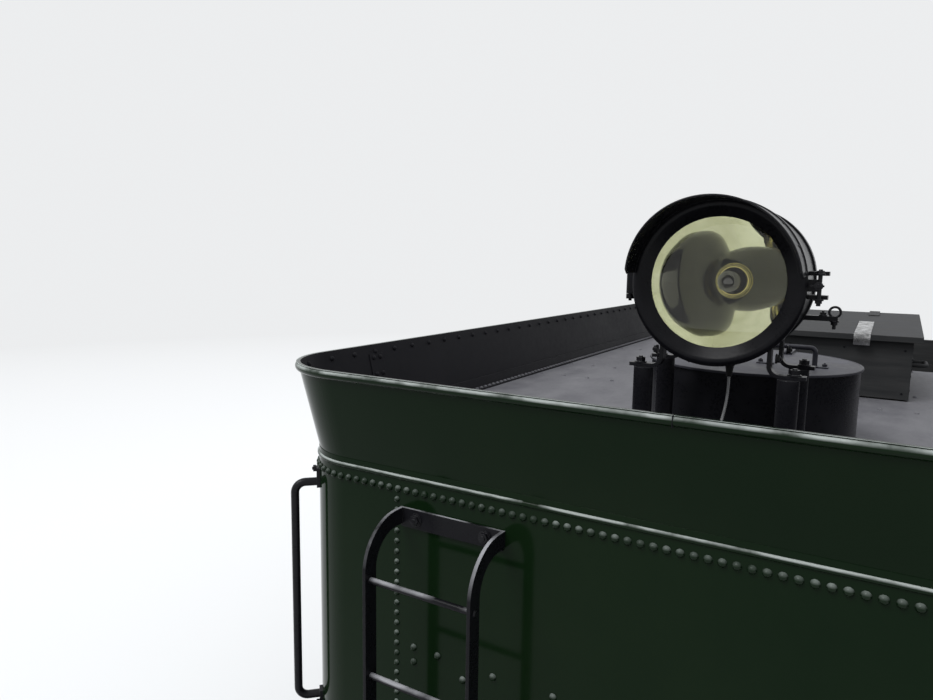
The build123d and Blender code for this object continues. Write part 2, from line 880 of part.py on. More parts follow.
# Toolbox of boards on skids, with a sloping lid hinged at the high front edge
box_front = tank_rear + toolbox_rear + toolbox_length
box_rear = tank_rear + toolbox_rear
box_floor = deck_z + toolbox_skid
lid_low = deck_z + toolbox_rear_height
lid_high = lid_low + toolbox_rise
box_hinge_x = box_front + toolbox_hinge_out
box_hinge_z = lid_high - toolbox_board - toolbox_hinge_drop
box_hinge_boss = toolbox_hinge_radius + toolbox_strap_plate
with BuildPart() as toolbox:
    with BuildSketch(Plane.XZ):
        with BuildLine():
            Polyline(
                (box_rear, box_floor),
                (box_front, box_floor),
                (box_front, lid_high - toolbox_board),
                (box_rear, lid_low - toolbox_board),
                close=True,
            )
        make_face()
    extrude(amount=toolbox_half_width, both=True)
    with Locations(((box_rear + box_front) / 2, 0, box_floor + toolbox_board)):
        Box(
            toolbox_length - 2 * toolbox_board,
            2 * (toolbox_half_width - toolbox_board),
            toolbox_rear_height + toolbox_rise,
            align=(Align.CENTER, Align.CENTER, Align.MIN),
            mode=Mode.SUBTRACT,
        )
    with Locations(((box_rear + box_front) / 2, 0, deck_z)):
        with GridLocations(0, 2 * toolbox_half_width - 6 * toolbox_board, 1, 2):
            Box(
                toolbox_length - 4 * toolbox_board,
                3 * toolbox_board,
                toolbox_skid,
                align=(Align.CENTER, Align.CENTER, Align.MIN),
            )
    for side in (1, -1):
        handle_z = (box_floor + lid_low) / 2
        wall_y = side * (toolbox_half_width - toolbox_board / 2)
        grip_y = side * (toolbox_half_width + toolbox_handle_reach)
        add(
            round_bar(
                [
                    (box_rear + toolbox_handle_width, wall_y, handle_z),
                    (box_rear + toolbox_handle_width, grip_y, handle_z),
                    (box_rear + 2 * toolbox_handle_width, grip_y, handle_z),
                    (box_rear + 2 * toolbox_handle_width, wall_y, handle_z),
                ],
                toolbox_handle_radius,
                2 * toolbox_handle_radius,
            )
        )
        for knuckle_y in (
            side * toolbox_strap_offset + toolbox_strap_width,
            side * toolbox_strap_offset - toolbox_strap_width,
        ):
            with Locations((box_front, knuckle_y, box_hinge_z)):
                Box(
                    toolbox_hinge_out,
                    toolbox_strap_width - 4,
                    2 * toolbox_hinge_radius,
                    align=(Align.MIN, Align.CENTER, Align.CENTER),
                )
        with Locations((box_hinge_x, side * toolbox_strap_offset, box_hinge_z)):
            Cylinder(toolbox_hinge_radius, 3 * toolbox_strap_width, rotation=(90, 0, 0))

strap_back_x = box_front - toolbox_strap_length
with BuildPart() as toolbox_lid:
    with BuildSketch(Plane.XZ):
        with BuildLine():
            Polyline(
                (box_rear - toolbox_overhang, lid_low - toolbox_board - 1),
                (box_rear - toolbox_overhang, lid_low - 1),
                (box_front + 4, lid_high + seat_gap),
                (box_front + 4, lid_high - toolbox_board + 0.5),
                (box_rear, lid_low - toolbox_board + seat_gap),
                close=True,
            )
        make_face()
    extrude(amount=toolbox_half_width + toolbox_overhang, both=True)
    for side in (1, -1):
        with BuildSketch(Plane.XZ.offset(-side * toolbox_strap_offset)):
            with BuildLine():
                Polyline(
                    (strap_back_x, lid_high - toolbox_board / 2),
                    (strap_back_x, lid_high - toolbox_strap_plate / 3),
                    (box_hinge_x, lid_high + toolbox_strap_plate),
                    (box_hinge_x + box_hinge_boss, box_hinge_z),
                )
                ThreePointArc(
                    (box_hinge_x + box_hinge_boss, box_hinge_z),
                    (box_hinge_x, box_hinge_z - box_hinge_boss),
                    (box_hinge_x - box_hinge_boss, box_hinge_z),
                )
                Polyline(
                    (box_hinge_x - box_hinge_boss, box_hinge_z),
                    (box_front + 3, lid_high - toolbox_board / 2),
                    (strap_back_x, lid_high - toolbox_board / 2),
                )
            make_face()
            with Locations((box_hinge_x, box_hinge_z)):
                Circle(toolbox_hinge_radius + pin_clearance, mode=Mode.SUBTRACT)
        extrude(amount=toolbox_strap_width / 2, both=True)

# Lamp posts with foot flanges
with BuildPart() as lamp_posts:
    for post_s in (post_rear, post_front):
        for side in (1, -1):
            with Locations((tank_rear + post_s, side * post_spread, deck_z)):
                Cylinder(
                    post_radius + post_flange,
                    post_flange_plate,
                    align=(Align.CENTER, Align.CENTER, Align.MIN),
                )
                Cylinder(
                    post_radius,
                    post_height - bracket_plate,
                    align=(Align.CENTER, Align.CENTER, Align.MIN),
                )

# Bent flat brackets from the post tops up to the lamp drum
lamp_z = deck_z + lamp_height
leg_top = lamp_z - sqrt(lamp_drum_radius**2 - bracket_leg**2)
strap_radius = lamp_drum_radius + 1.5 * lamp_plate
with BuildPart() as lamp_brackets:
    for bracket_s, seat_radius in (
        (post_rear + bracket_shift, lamp_drum_radius),
        (post_front, strap_radius),
    ):
        for side in (1, -1):
            foot_z = deck_z + post_height
            with BuildSketch(Plane.YZ.offset(tank_rear + bracket_s)):
                with BuildLine():
                    FilletPolyline(
                        (side * (post_spread + bracket_foot), foot_z),
                        (side * bracket_leg, foot_z),
                        (side * bracket_leg, leg_top + 3 * bracket_plate),
                        radius=bracket_bend,
                    )
                    offset(amount=bracket_plate, side=Side.LEFT if side > 0 else Side.RIGHT)
                make_face()
                with Locations((0, lamp_z)):
                    Circle(seat_radius, mode=Mode.SUBTRACT)
            extrude(amount=bracket_bar / 2, both=True)

# Lamp casing: a drum with a rounded back edge, clasp lugs and the strap round its back
drum_start = tank_rear + lamp_face + lamp_ring_depth
drum_end = drum_start + lamp_drum_length
drum_round = lamp_drum_back / 2
lamp_axis = Axis((0, 0, lamp_z), (1, 0, 0))
strap_x = drum_end - strap_back - strap_width
clasp_y = lamp_ring_radius + clasp_reach
with BuildPart() as lamp_casing:
    with BuildSketch(Plane.XZ):
        with BuildLine():
            Polyline(
                (drum_start, lamp_z),
                (drum_start, lamp_z + lamp_drum_radius),
                (drum_end - drum_round, lamp_z + lamp_drum_radius),
            )
            RadiusArc(
                (drum_end - drum_round, lamp_z + lamp_drum_radius),
                (drum_end, lamp_z + lamp_drum_radius - drum_round),
                drum_round,
            )
            Polyline(
                (drum_end, lamp_z + lamp_drum_radius - drum_round),
                (drum_end, lamp_z),
                (drum_start, lamp_z),
            )
        make_face()
        with Locations((strap_x + strap_width / 2, lamp_z + strap_radius / 2)):
            Rectangle(strap_width, strap_radius)
    revolve(axis=lamp_axis)
    with Locations((strap_x + strap_width / 2, -lamp_drum_radius + 2 * drum_round, lamp_z - strap_tab_drop)):
        Box(
            strap_width - 2 * lamp_plate,
            2 * drum_round + strap_tab_reach,
            4 * lamp_plate,
            align=(Align.CENTER, Align.MAX, Align.CENTER),
        )
    for knuckle_side in (1, -1):
        knuckle_z = lamp_z + knuckle_side * (hinge_lug_height / 2 + 1 + door_knuckle_height / 2)
        with Locations((drum_start, door_hinge_offset, knuckle_z)):
            Cylinder(door_knuckle_radius, door_knuckle_height)
        with Locations((drum_start + 1, door_hinge_offset, knuckle_z)):
            Box(
                door_knuckle_radius - 1,
                door_hinge_offset - lamp_drum_radius + drum_round,
                door_knuckle_height,
                align=(Align.MIN, Align.MAX, Align.CENTER),
            )
    with Locations((drum_start, door_hinge_offset, lamp_z)):
        Cylinder(door_pin_radius, hinge_lug_height + 3 * door_knuckle_height)
    for lug_z in (lamp_z + clasp_height, lamp_z - clasp_height):
        with BuildSketch(Plane.XY.offset(lug_z)):
            with BuildLine():
                Polyline(
                    (drum_start + 2, drum_round - lamp_drum_radius),
                    (drum_start + 2, -clasp_y),
                    (drum_start + clasp_height, -clasp_y),
                    (drum_start + 2 * clasp_reach, drum_round - lamp_drum_radius),
                    close=True,
                )
            make_face()
        extrude(amount=1.5 * lamp_plate, both=True)
    with BuildSketch(Plane.YZ.offset(drum_start)):
        with Locations((0, lamp_z)):
            Circle(lamp_drum_radius - lamp_plate)
    extrude(amount=lamp_drum_length - lamp_drum_back, mode=Mode.SUBTRACT)

# Reflector bowl
reflector_rim = lamp_drum_radius - lamp_plate - seat_gap
reflector_start = drum_start + reflector_set_back
with BuildPart() as lamp_reflector:
    with BuildSketch(Plane.XZ):
        with BuildLine():
            ThreePointArc(
                (reflector_start, lamp_z + reflector_rim),
                (reflector_start + 0.55 * reflector_depth, lamp_z + 0.72 * reflector_rim),
                (reflector_start + reflector_depth, lamp_z + reflector_neck),
            )
            Line(
                (reflector_start + reflector_depth, lamp_z + reflector_neck),
                (reflector_start + reflector_depth + lamp_plate, lamp_z + reflector_neck),
            )
            ThreePointArc(
                (reflector_start + reflector_depth + lamp_plate, lamp_z + reflector_neck),
                (reflector_start + 0.55 * reflector_depth + lamp_plate, lamp_z + 0.73 * reflector_rim),
                (reflector_start + 1.4 * lamp_plate, lamp_z + reflector_rim),
            )
            Line(
                (reflector_start + 1.4 * lamp_plate, lamp_z + reflector_rim),
                (reflector_start, lamp_z + reflector_rim),
            )
        make_face()
    revolve(axis=lamp_axis)

# Bulb and the neck that holds it through the bowl
bulb_x = reflector_start + reflector_depth / 2 + bulb_radius
with BuildPart() as lamp_bulb:
    with Locations((bulb_x, 0, lamp_z)):
        Sphere(bulb_radius)
        Cylinder(
            bulb_neck,
            drum_end - lamp_drum_back - bulb_x,
            rotation=(0, 90, 0),
            align=(Align.CENTER, Align.CENTER, Align.MIN),
        )

# Hood of the lamp door, longer at the top than at its sides
door_x = tank_rear + lamp_face
door_back = door_x + lamp_ring_depth - 0.5
visor_root = door_x + 2 * lamp_bezel_lip
with BuildPart() as lamp_visor:
    with BuildSketch(Plane.YZ.offset(door_x - visor_reach)):
        with Locations((0, lamp_z)):
            Circle(visor_radius)
            Circle(visor_radius - lamp_plate, mode=Mode.SUBTRACT)
    extrude(amount=visor_reach + 2 * lamp_bezel_lip)
    with BuildSketch(Plane.XZ):
        with BuildLine():
            FilletPolyline(
                (visor_root, lamp_z + visor_end_height),
                (door_x - visor_side_reach, lamp_z + visor_end_height),
                (door_x - visor_reach, lamp_z + visor_radius),
                radius=visor_end_round,
            )
            Polyline(
                (door_x - visor_reach, lamp_z + visor_radius),
                (visor_root, lamp_z + visor_radius),
                (visor_root, lamp_z + visor_end_height),
            )
        make_face()
    extrude(amount=visor_radius, both=True, mode=Mode.INTERSECT)

# Lamp door: bezel ring and hood, with a hinge eye on the left and a clasp lug on the right
glass_edge = door_back - lamp_glass_plate - lamp_bezel_lip
glass_lip = lamp_glass_radius - lamp_bezel_lip
bead_inner = visor_radius - lamp_bead
lug_root = lamp_ring_radius - 2 * lamp_bezel_lip
with BuildPart() as lamp_door:
    with BuildSketch(Plane.XZ):
        with BuildLine():
            Polyline(
                (door_back, lamp_z + lamp_glass_radius),
                (glass_edge - 1, lamp_z + lamp_glass_radius),
                (glass_edge - 1, lamp_z + glass_lip),
                (glass_edge - lamp_bezel_lip, lamp_z + glass_lip),
                (door_x + lamp_bezel_lip, lamp_z + bead_inner),
            )
            ThreePointArc(
                (door_x + lamp_bezel_lip, lamp_z + bead_inner),
                (door_x, lamp_z + visor_radius - lamp_bead / 2),
                (door_x + lamp_bezel_lip, lamp_z + visor_radius),
            )
            Polyline(
                (door_x + lamp_bezel_lip, lamp_z + visor_radius),
                (door_x + 2 * lamp_bezel_lip, lamp_z + lamp_ring_radius),
                (door_back, lamp_z + lamp_ring_radius),
                (door_back, lamp_z + lamp_glass_radius),
            )
        make_face()
    revolve(axis=lamp_axis)
    add(lamp_visor.part)
    with Locations((door_back, lug_root, lamp_z)):
        Box(
            hinge_lug_depth,
            door_hinge_offset - lug_root,
            hinge_lug_height,
            align=(Align.MAX, Align.MIN, Align.CENTER),
        )
    with Locations((drum_start, door_hinge_offset, lamp_z)):
        Cylinder(door_knuckle_radius, hinge_lug_height)
        Cylinder(door_pin_radius + pin_clearance, hinge_lug_height, mode=Mode.SUBTRACT)
    with Locations((door_back, -lug_root, lamp_z)):
        Box(
            hinge_lug_depth,
            clasp_reach / 2 + 2 * lamp_bezel_lip,
            clasp_height,
            align=(Align.MAX, Align.MAX, Align.CENTER),
        )

# Domed door glass
dome_radius = (lamp_glass_radius**2 + lamp_glass_dome**2) / (2 * lamp_glass_dome)
with BuildPart() as lamp_glass:
    with Locations((glass_edge - lamp_glass_dome + dome_radius, 0, lamp_z)):
        Sphere(dome_radius)
        Sphere(dome_radius - lamp_glass_plate, mode=Mode.SUBTRACT)
    with Locations((glass_edge - lamp_glass_dome, 0, lamp_z)):
        Cylinder(
            lamp_glass_radius,
            2 * lamp_glass_dome,
            rotation=(0, 90, 0),
            align=(Align.CENTER, Align.CENTER, Align.MIN),
            mode=Mode.INTERSECT,
        )

# Lead from the lamp down to the deck
lead_top = lamp_z - sqrt(lamp_drum_radius**2 - lead_offset**2) - 1
lead_x = tank_rear + lead_at
with BuildPart() as lamp_lead:
    add(
        round_bar(
            [
                (lead_x, -lead_offset, lead_top),
                (lead_x, -lead_offset, deck_z + 0.66 * post_height),
                (lead_x - lead_bend, -lead_offset / 3, deck_z + 0.33 * post_height),
                (lead_x - lead_bend, -lead_offset / 3, deck_z),
            ],
            lead_radius,
            lead_bend,
        )
    )

# Ladder on the rear wall: flat stringers bent out from the wall, round rungs, top cross bar
ladder_top = deck_z - ladder_top_drop
stringer_x = tank_rear - ladder_standoff - ladder_bar_depth / 2
with BuildPart() as rear_ladder:
    for side in (1, -1):
        stringer_y = ladder_offset + side * (ladder_width - ladder_bar) / 2
        with BuildSketch(Plane.XZ.offset(-stringer_y)):
            with BuildLine():
                FilletPolyline(
                    (tank_rear, ladder_top),
                    (stringer_x, ladder_top),
                    (stringer_x, frame_top),
                    radius=ladder_bend,
                )
                offset(amount=ladder_bar_depth, side=Side.LEFT)
            make_face()
        extrude(amount=ladder_bar / 2, both=True)
    for rung in range(3):
        rung_z = deck_z - first_rung_drop - rung * rung_pitch
        with Locations((tank_rear - ladder_standoff, ladder_offset, rung_z)):
            Cylinder(rung_radius, ladder_width - ladder_bar, rotation=(90, 0, 0))
    with Locations((tank_rear, ladder_offset, ladder_top)):
        Box(
            ladder_top_plate,
            ladder_width - ladder_bar,
            ladder_top_bar,
            align=(Align.MAX, Align.CENTER, Align.MAX),
        )

# Grab irons on foot plates: at 45 degrees on the rear corners, upright on the sides at the front
corner_reach = rear_corner_radius * (1 - 1 / sqrt(2))
corner_x = tank_rear + corner_reach
corner_y = tank_width / 2 - corner_reach
grab_top = deck_z - grab_top_drop
grab_bottom = grab_top - grab_length
step_out = grab_standoff / sqrt(2)
foot_out = grab_foot_plate / 2 / sqrt(2)
foot_shift = grab_foot_length / 2 - 1.25 * grab_radius
rail_x = tank_front - rail_inset
rail_top = deck_z - rail_end_drop
rail_bottom = frame_top + rail_end_rise
with BuildPart() as grab_irons:
    for side in (1, -1):
        add(
            round_bar(
                [
                    (corner_x, side * corner_y, grab_top),
                    (corner_x - step_out, side * (corner_y + step_out), grab_top),
                    (corner_x - step_out, side * (corner_y + step_out), grab_bottom),
                    (corner_x, side * corner_y, grab_bottom),
                ],
                grab_radius,
                grab_bend,
            )
        )
        for foot_z in (grab_top + foot_shift, grab_bottom - foot_shift):
            foot_place = (corner_x - foot_out, side * (corner_y + foot_out), foot_z)
            with Locations(Location(foot_place, (0, 0, -side * 45))):
                Box(grab_foot_plate, grab_foot_width, grab_foot_length)
        rail_y = tank_width / 2 + rail_standoff
        add(
            round_bar(
                [
                    (rail_x, side * tank_width / 2, rail_top),
                    (rail_x, side * rail_y, rail_top),
                    (rail_x, side * rail_y, rail_bottom),
                    (rail_x, side * tank_width / 2, rail_bottom),
                ],
                grab_radius,
                grab_bend - grab_foot_plate,
            )
        )
        for foot_z in (rail_top, rail_bottom):
            with Locations((rail_x, side * (tank_width / 2 + grab_foot_plate / 2), foot_z)):
                Box(grab_foot_length, grab_foot_plate, grab_foot_width)

# Coal boards across the front of the coal space
board_step = board_height + board_gap
with BuildPart() as coal_boards:
    for board in range(3):
        board_z = tank_top - board_height / 2 - board * board_step
        with Locations((tank_front - board_inset, 0, board_z)):
            Box(board_thickness, coal_width, board_height)

# Steps under the front beam and stirrups at the rear corners
with BuildPart() as steps:
    for side in (1, -1):
        for face_x, drop in (
            (front_beam_face - step_set_back, front_step_drop),
            (rear_beam_face + step_set_back, rear_step_drop),
        ):
            step_y = side * (tank_width / 2 - beam_inset - step_width / 2)
            with BuildSketch(Plane.YZ.offset(face_x)):
                with Locations((step_y, frame_bottom - drop / 2)):
                    Rectangle(step_width, drop)
                    Rectangle(step_width - 2 * step_bar, drop - 4 * step_bar, mode=Mode.SUBTRACT)
            extrude(amount=step_plate, both=True)
            with Locations((face_x, step_y, frame_bottom - drop)):
                Box(
                    step_tread,
                    step_width,
                    step_plate,
                    align=(Align.CENTER, Align.CENTER, Align.MIN),
                )

# Coupler pocket below the rear beam
pocket_floor = coupler_height - shank_height / 2
pocket_start = rear_beam_face + beam_chamfer
pocket_end = tank_rear + pocket_length
pocket_roof = frame_bottom - pocket_plate
pocket_bottom = pocket_floor - pocket_plate
with BuildPart() as coupler_pocket:
    with BuildSketch(Plane.YZ.offset(pocket_start)):
        with Locations((0, (pocket_bottom + frame_bottom) / 2)):
            Rectangle(shank_width + 2 * pocket_side, frame_bottom - pocket_bottom)
        with Locations((0, (pocket_floor + pocket_roof) / 2)):
            Rectangle(
                shank_width + 2 * (pocket_side - pocket_plate),
                pocket_roof - pocket_floor,
                mode=Mode.SUBTRACT,
            )
    extrude(amount=pocket_end - pocket_start)

# Coupler head: a guard arm on one side, and lugs above and below the knuckle on the other
head_x = rear_beam_face
knuckle_pin_x = head_x - pin_reach
throat_x = head_x - throat_reach
guard_tip = head_x - coupler_reach
guard_inner = guard_thickness - guard_width
lug_y = pin_offset + lug_radius
head_height = knuckle_height + 2 * coupler_lug
with BuildPart() as coupler_body:
    with Locations((pocket_end - shank_end, 0, coupler_height)):
        Box(
            pocket_end - shank_end - head_x + 1.3 * head_neck,
            shank_width,
            shank_height,
            align=(Align.MAX, Align.CENTER, Align.CENTER),
        )
    with BuildSketch(Plane.XY.offset(coupler_height)):
        with BuildLine():
            Polyline(
                (head_x - head_neck, shank_width / 2),
                (head_x - 2 * head_neck, 0.87 * lug_y),
                (throat_x, lug_y),
                (knuckle_pin_x, lug_y),
            )
            ThreePointArc(
                (knuckle_pin_x, lug_y),
                (knuckle_pin_x - lug_radius, pin_offset),
                (knuckle_pin_x, pin_offset - lug_radius),
            )
            Polyline(
                (knuckle_pin_x, pin_offset - lug_radius),
                (throat_x, pin_offset - 1.4 * lug_radius),
                (throat_x, 0.37 * guard_inner),
            )
            ThreePointArc(
                (throat_x, 0.37 * guard_inner),
                (head_x - 1.32 * throat_reach, 0.73 * guard_inner),
                (guard_tip + 0.6 * guard_thickness, guard_inner),
            )
            Polyline(
                (guard_tip + 0.6 * guard_thickness, guard_inner),
                (guard_tip + 0.3 * guard_thickness, -guard_width),
                (guard_tip + 1.25 * guard_thickness, -1.03 * guard_width),
                (head_x - 0.8 * throat_reach, -0.78 * guard_width),
                (head_x - head_neck, -shank_width / 2),
                (head_x - head_neck, shank_width / 2),
            )
        make_face()
    extrude(amount=head_height / 2, both=True)
    with BuildSketch(Plane.XY.offset(coupler_height)):
        with BuildLine():
            Polyline(
                (head_x - cavity_reach, -cavity_side),
                (head_x - cavity_reach, 0.57 * lug_y),
                (throat_x + cavity_side, lug_y + cavity_side),
                (guard_tip - cavity_side, lug_y + cavity_side),
                (guard_tip - cavity_side, -cavity_side),
                close=True,
            )
        make_face()
    extrude(amount=knuckle_height / 2, both=True, mode=Mode.SUBTRACT)
    with Locations((knuckle_pin_x, pin_offset, coupler_height)):
        Cylinder(knuckle_pin_radius, head_height + 2 * knuckle_pin_head)

# Knuckle, swinging on its pin
knuckle_reach = coupler_reach - pin_reach
with BuildPart() as coupler_knuckle:
    with BuildSketch(Plane((knuckle_pin_x, pin_offset, coupler_height))):
        Circle(knuckle_round)
        with BuildLine():
            Line((0, knuckle_round), (-0.56 * knuckle_reach, 0.16 * knuckle_reach))
            ThreePointArc(
                (-0.56 * knuckle_reach, 0.16 * knuckle_reach),
                (-0.885 * knuckle_reach, -0.273 * knuckle_reach),
                (-knuckle_reach, -0.8 * knuckle_reach),
            )
            Polyline(
                (-knuckle_reach, -0.8 * knuckle_reach),
                (knuckle_nose - knuckle_reach, -0.84 * knuckle_reach),
                (1.12 * knuckle_nose - knuckle_reach, -0.48 * knuckle_reach),
                (-0.16 * knuckle_reach, -0.29 * knuckle_reach),
                (0.32 * knuckle_reach, -0.48 * knuckle_reach),
                (0.62 * knuckle_reach, -0.4 * knuckle_reach),
                (0.32 * knuckle_reach, -0.1 * knuckle_reach),
                (0, knuckle_round),
            )
        make_face()
        Circle(knuckle_pin_radius + pin_clearance, mode=Mode.SUBTRACT)
    extrude(amount=knuckle_height / 2 - 1, both=True)

# Coupling lever across the rear beam
lever_x = rear_beam_face - lever_standoff
lever_z = frame_top - lever_drop
lever_foot = coupler_height + head_height / 2 + lever_standoff
with BuildPart() as coupling_lever:
    add(
        round_bar(
            [
                (lever_x, lever_start, lever_foot),
                (lever_x, lever_start, lever_z),
                (lever_x, lever_end, lever_z),
                (lever_x, lever_end, lever_z - lever_handle),
            ],
            lever_radius,
            lever_standoff,
        )
    )
    for bracket_y in (lever_start + 2 * lever_bracket, lever_end - 2 * lever_bracket):
        with Locations((rear_beam_face, bracket_y, lever_z)):
            Box(
                lever_standoff + lever_radius,
                1.5 * lever_radius,
                lever_bracket,
                align=(Align.MAX, Align.CENTER, Align.CENTER),
            )

# Drawbar pocket and pin at the front
drawbar_pin_x = tank_front + drawbar_pin_at
jaw_bottom = coupler_height - drawbar_thickness / 2 - drawbar_jaw_plate - seat_gap
jaw_start = drawbar_pin_x - 0.67 * drawbar_jaw_length
with BuildPart() as drawbar_pocket:
    for jaw_z in (coupler_height + drawbar_thickness / 2 + 1, jaw_bottom):
        with Locations((jaw_start, 0, jaw_z)):
            Box(
                drawbar_jaw_length,
                drawbar_jaw_width,
                drawbar_jaw_plate,
                align=(Align.MIN, Align.CENTER, Align.MIN),
            )
    for side in (1, -1):
        with Locations((jaw_start, side * drawbar_jaw_width / 2, jaw_bottom)):
            Box(
                drawbar_jaw_length / 3,
                drawbar_jaw_plate,
                frame_bottom - jaw_bottom,
                align=(Align.MIN, Align.MAX if side > 0 else Align.MIN, Align.MIN),
            )
    with Locations((drawbar_pin_x, 0, coupler_height)):
        Cylinder(drawbar_pin_radius, drawbar_thickness + 4 * drawbar_jaw_plate)

with BuildPart() as drawbar:
    with BuildSketch(Plane.XY.offset(coupler_height - drawbar_thickness / 2)):
        with Locations((drawbar_pin_x + drawbar_length / 2, 0)):
            Rectangle(drawbar_length, drawbar_width)
        with Locations((drawbar_pin_x, 0), (drawbar_pin_x + drawbar_length, 0)):
            Circle(drawbar_eye)
        with Locations((drawbar_pin_x, 0), (drawbar_pin_x + drawbar_length, 0)):
            Circle(drawbar_pin_radius + pin_clearance, mode=Mode.SUBTRACT)
    extrude(amount=drawbar_thickness)

# Hand brake column on the front beam
brake_x = tank_front + brake_column_at
brake_top = deck_z - brake_top_drop
with BuildPart() as hand_brake:
    with Locations((brake_x, brake_column_offset, frame_top)):
        Cylinder(
            3.5 * brake_column_radius,
            brake_wheel_rim * 2,
            align=(Align.CENTER, Align.CENTER, Align.MIN),
        )
        Cylinder(
            brake_column_radius,
            brake_top - frame_top,
            align=(Align.CENTER, Align.CENTER, Align.MIN),
        )
    with Locations((brake_x, brake_column_offset, brake_top)):
        Torus(brake_wheel_radius, brake_wheel_rim)
        Cylinder(1.8 * brake_column_radius, 2 * brake_column_radius)
        with PolarLocations(brake_wheel_radius / 2, 5):
            Cylinder(0.7 * brake_wheel_rim, brake_wheel_radius, rotation=(0, 90, 0))

# Feed pipes from the tank legs to the engine, with flanges at both ends
pipe_x = tank_front - pipe_set_back
pipe_y = tank_width / 2 - pipe_inset
pipe_z = frame_bottom - pipe_drop
pipe_end = front_beam_face + pipe_reach
with BuildPart() as feed_pipes:
    for side in (1, -1):
        add(
            round_bar(
                [
                    (pipe_x, side * pipe_y, frame_top),
                    (pipe_x, side * pipe_y, pipe_z),
                    (pipe_end, side * pipe_y, pipe_z),
                ],
                pipe_radius,
                pipe_bend,
            )
        )
        with Locations((pipe_x, side * pipe_y, frame_top)):
            Cylinder(
                pipe_radius + pipe_flange,
                pipe_flange / 2,
                align=(Align.CENTER, Align.CENTER, Align.MAX),
            )
        with Locations((pipe_end, side * pipe_y, pipe_z)):
            Cylinder(
                pipe_radius + pipe_flange / 2,
                pipe_flange,
                rotation=(0, 90, 0),
                align=(Align.CENTER, Align.CENTER, Align.MAX),
            )

# Air reservoir with domed ends, slung from the side sill by two straps
middle_x = tank_rear + tank_length / 2
frame_gap = tank_length - 2 * bogie_inset - 2 * bar_reach
reservoir_half = frame_gap / 2 - reservoir_clearance
reservoir_y = side_sill_y - reservoir_inset
reservoir_z = frame_bottom - reservoir_drop
reservoir_dome = reservoir_radius / 3
with BuildPart() as air_reservoir:
    with Locations((middle_x, reservoir_y, reservoir_z)):
        Cylinder(reservoir_radius, 2 * reservoir_half, rotation=(0, 90, 0))
    fillet(air_reservoir.edges().filter_by(GeomType.CIRCLE), reservoir_dome)
    for strap_way in (-1, 1):
        strap_place = middle_x + strap_way * reservoir_half / 2
        with Locations((strap_place, reservoir_y, reservoir_z)):
            Cylinder(reservoir_radius + step_plate / 2, reservoir_strap, rotation=(0, 90, 0))
        with Locations((strap_place, reservoir_y, frame_bottom)):
            Box(
                reservoir_strap,
                side_sill_y - reservoir_y,
                step_plate,
                align=(Align.CENTER, Align.MIN, Align.MAX),
            )
        with Locations((strap_place, reservoir_y, reservoir_z)):
            Box(
                reservoir_strap,
                2 * step_plate,
                frame_bottom - reservoir_z,
                align=(Align.CENTER, Align.MIN, Align.MIN),
            )

# Brake cylinder hung from the middle cross bearer, with flanged ends and its push rod
cylinder_length = wheel_gap - 2 * cylinder_clearance
cylinder_z = frame_bottom - cylinder_drop
with BuildPart() as brake_cylinder:
    with Locations((middle_x, -cylinder_offset, cylinder_z)):
        Cylinder(cylinder_radius - pipe_flange / 2, cylinder_length, rotation=(0, 90, 0))
        with GridLocations(cylinder_length - pipe_flange, 0, 2, 1):
            Cylinder(cylinder_radius, pipe_flange, rotation=(0, 90, 0))
        Box(
            bearer_plate,
            2 * cylinder_radius,
            frame_bottom + sill_web - cylinder_z,
            align=(Align.CENTER, Align.CENTER, Align.MIN),
        )

for piece_name, piece in (
    ("body_bolsters", body_bolsters),
    ("frame_sills", frame_sills),
    ("cross_bearers", cross_bearers),
    ("end_beams", end_beams),
    ("tank_body", tank_body),
    ("tank_deck", tank_deck),
    ("coping", coping),
    ("coping_rim", coping_rim),
    ("waist_bead", waist_bead),
    ("coping_splices", coping_splices),
    ("filler_neck", filler_neck),
    ("filler_lid", filler_lid),
    ("toolbox", toolbox),
    ("toolbox_lid", toolbox_lid),
    ("lamp_posts", lamp_posts),
    ("lamp_brackets", lamp_brackets),
    ("lamp_casing", lamp_casing),
    ("lamp_reflector", lamp_reflector),
    ("lamp_bulb", lamp_bulb),
    ("lamp_door", lamp_door),
    ("lamp_glass", lamp_glass),
    ("lamp_lead", lamp_lead),
    ("rear_ladder", rear_ladder),
    ("grab_irons", grab_irons),
    ("coal_boards", coal_boards),
    ("steps", steps),
    ("coupler_pocket", coupler_pocket),
    ("coupler_body", coupler_body),
    ("coupler_knuckle", coupler_knuckle),
    ("coupling_lever", coupling_lever),
    ("drawbar_pocket", drawbar_pocket),
    ("drawbar", drawbar),
    ("hand_brake", hand_brake),
    ("feed_pipes", feed_pipes),
    ("air_reservoir", air_reservoir),
    ("brake_cylinder", brake_cylinder),
):
    save(piece, piece_name)
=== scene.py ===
import bpy
import bmesh
from math import atan2, cos, pi, radians, sin, sqrt
from mathutils import Matrix, Vector


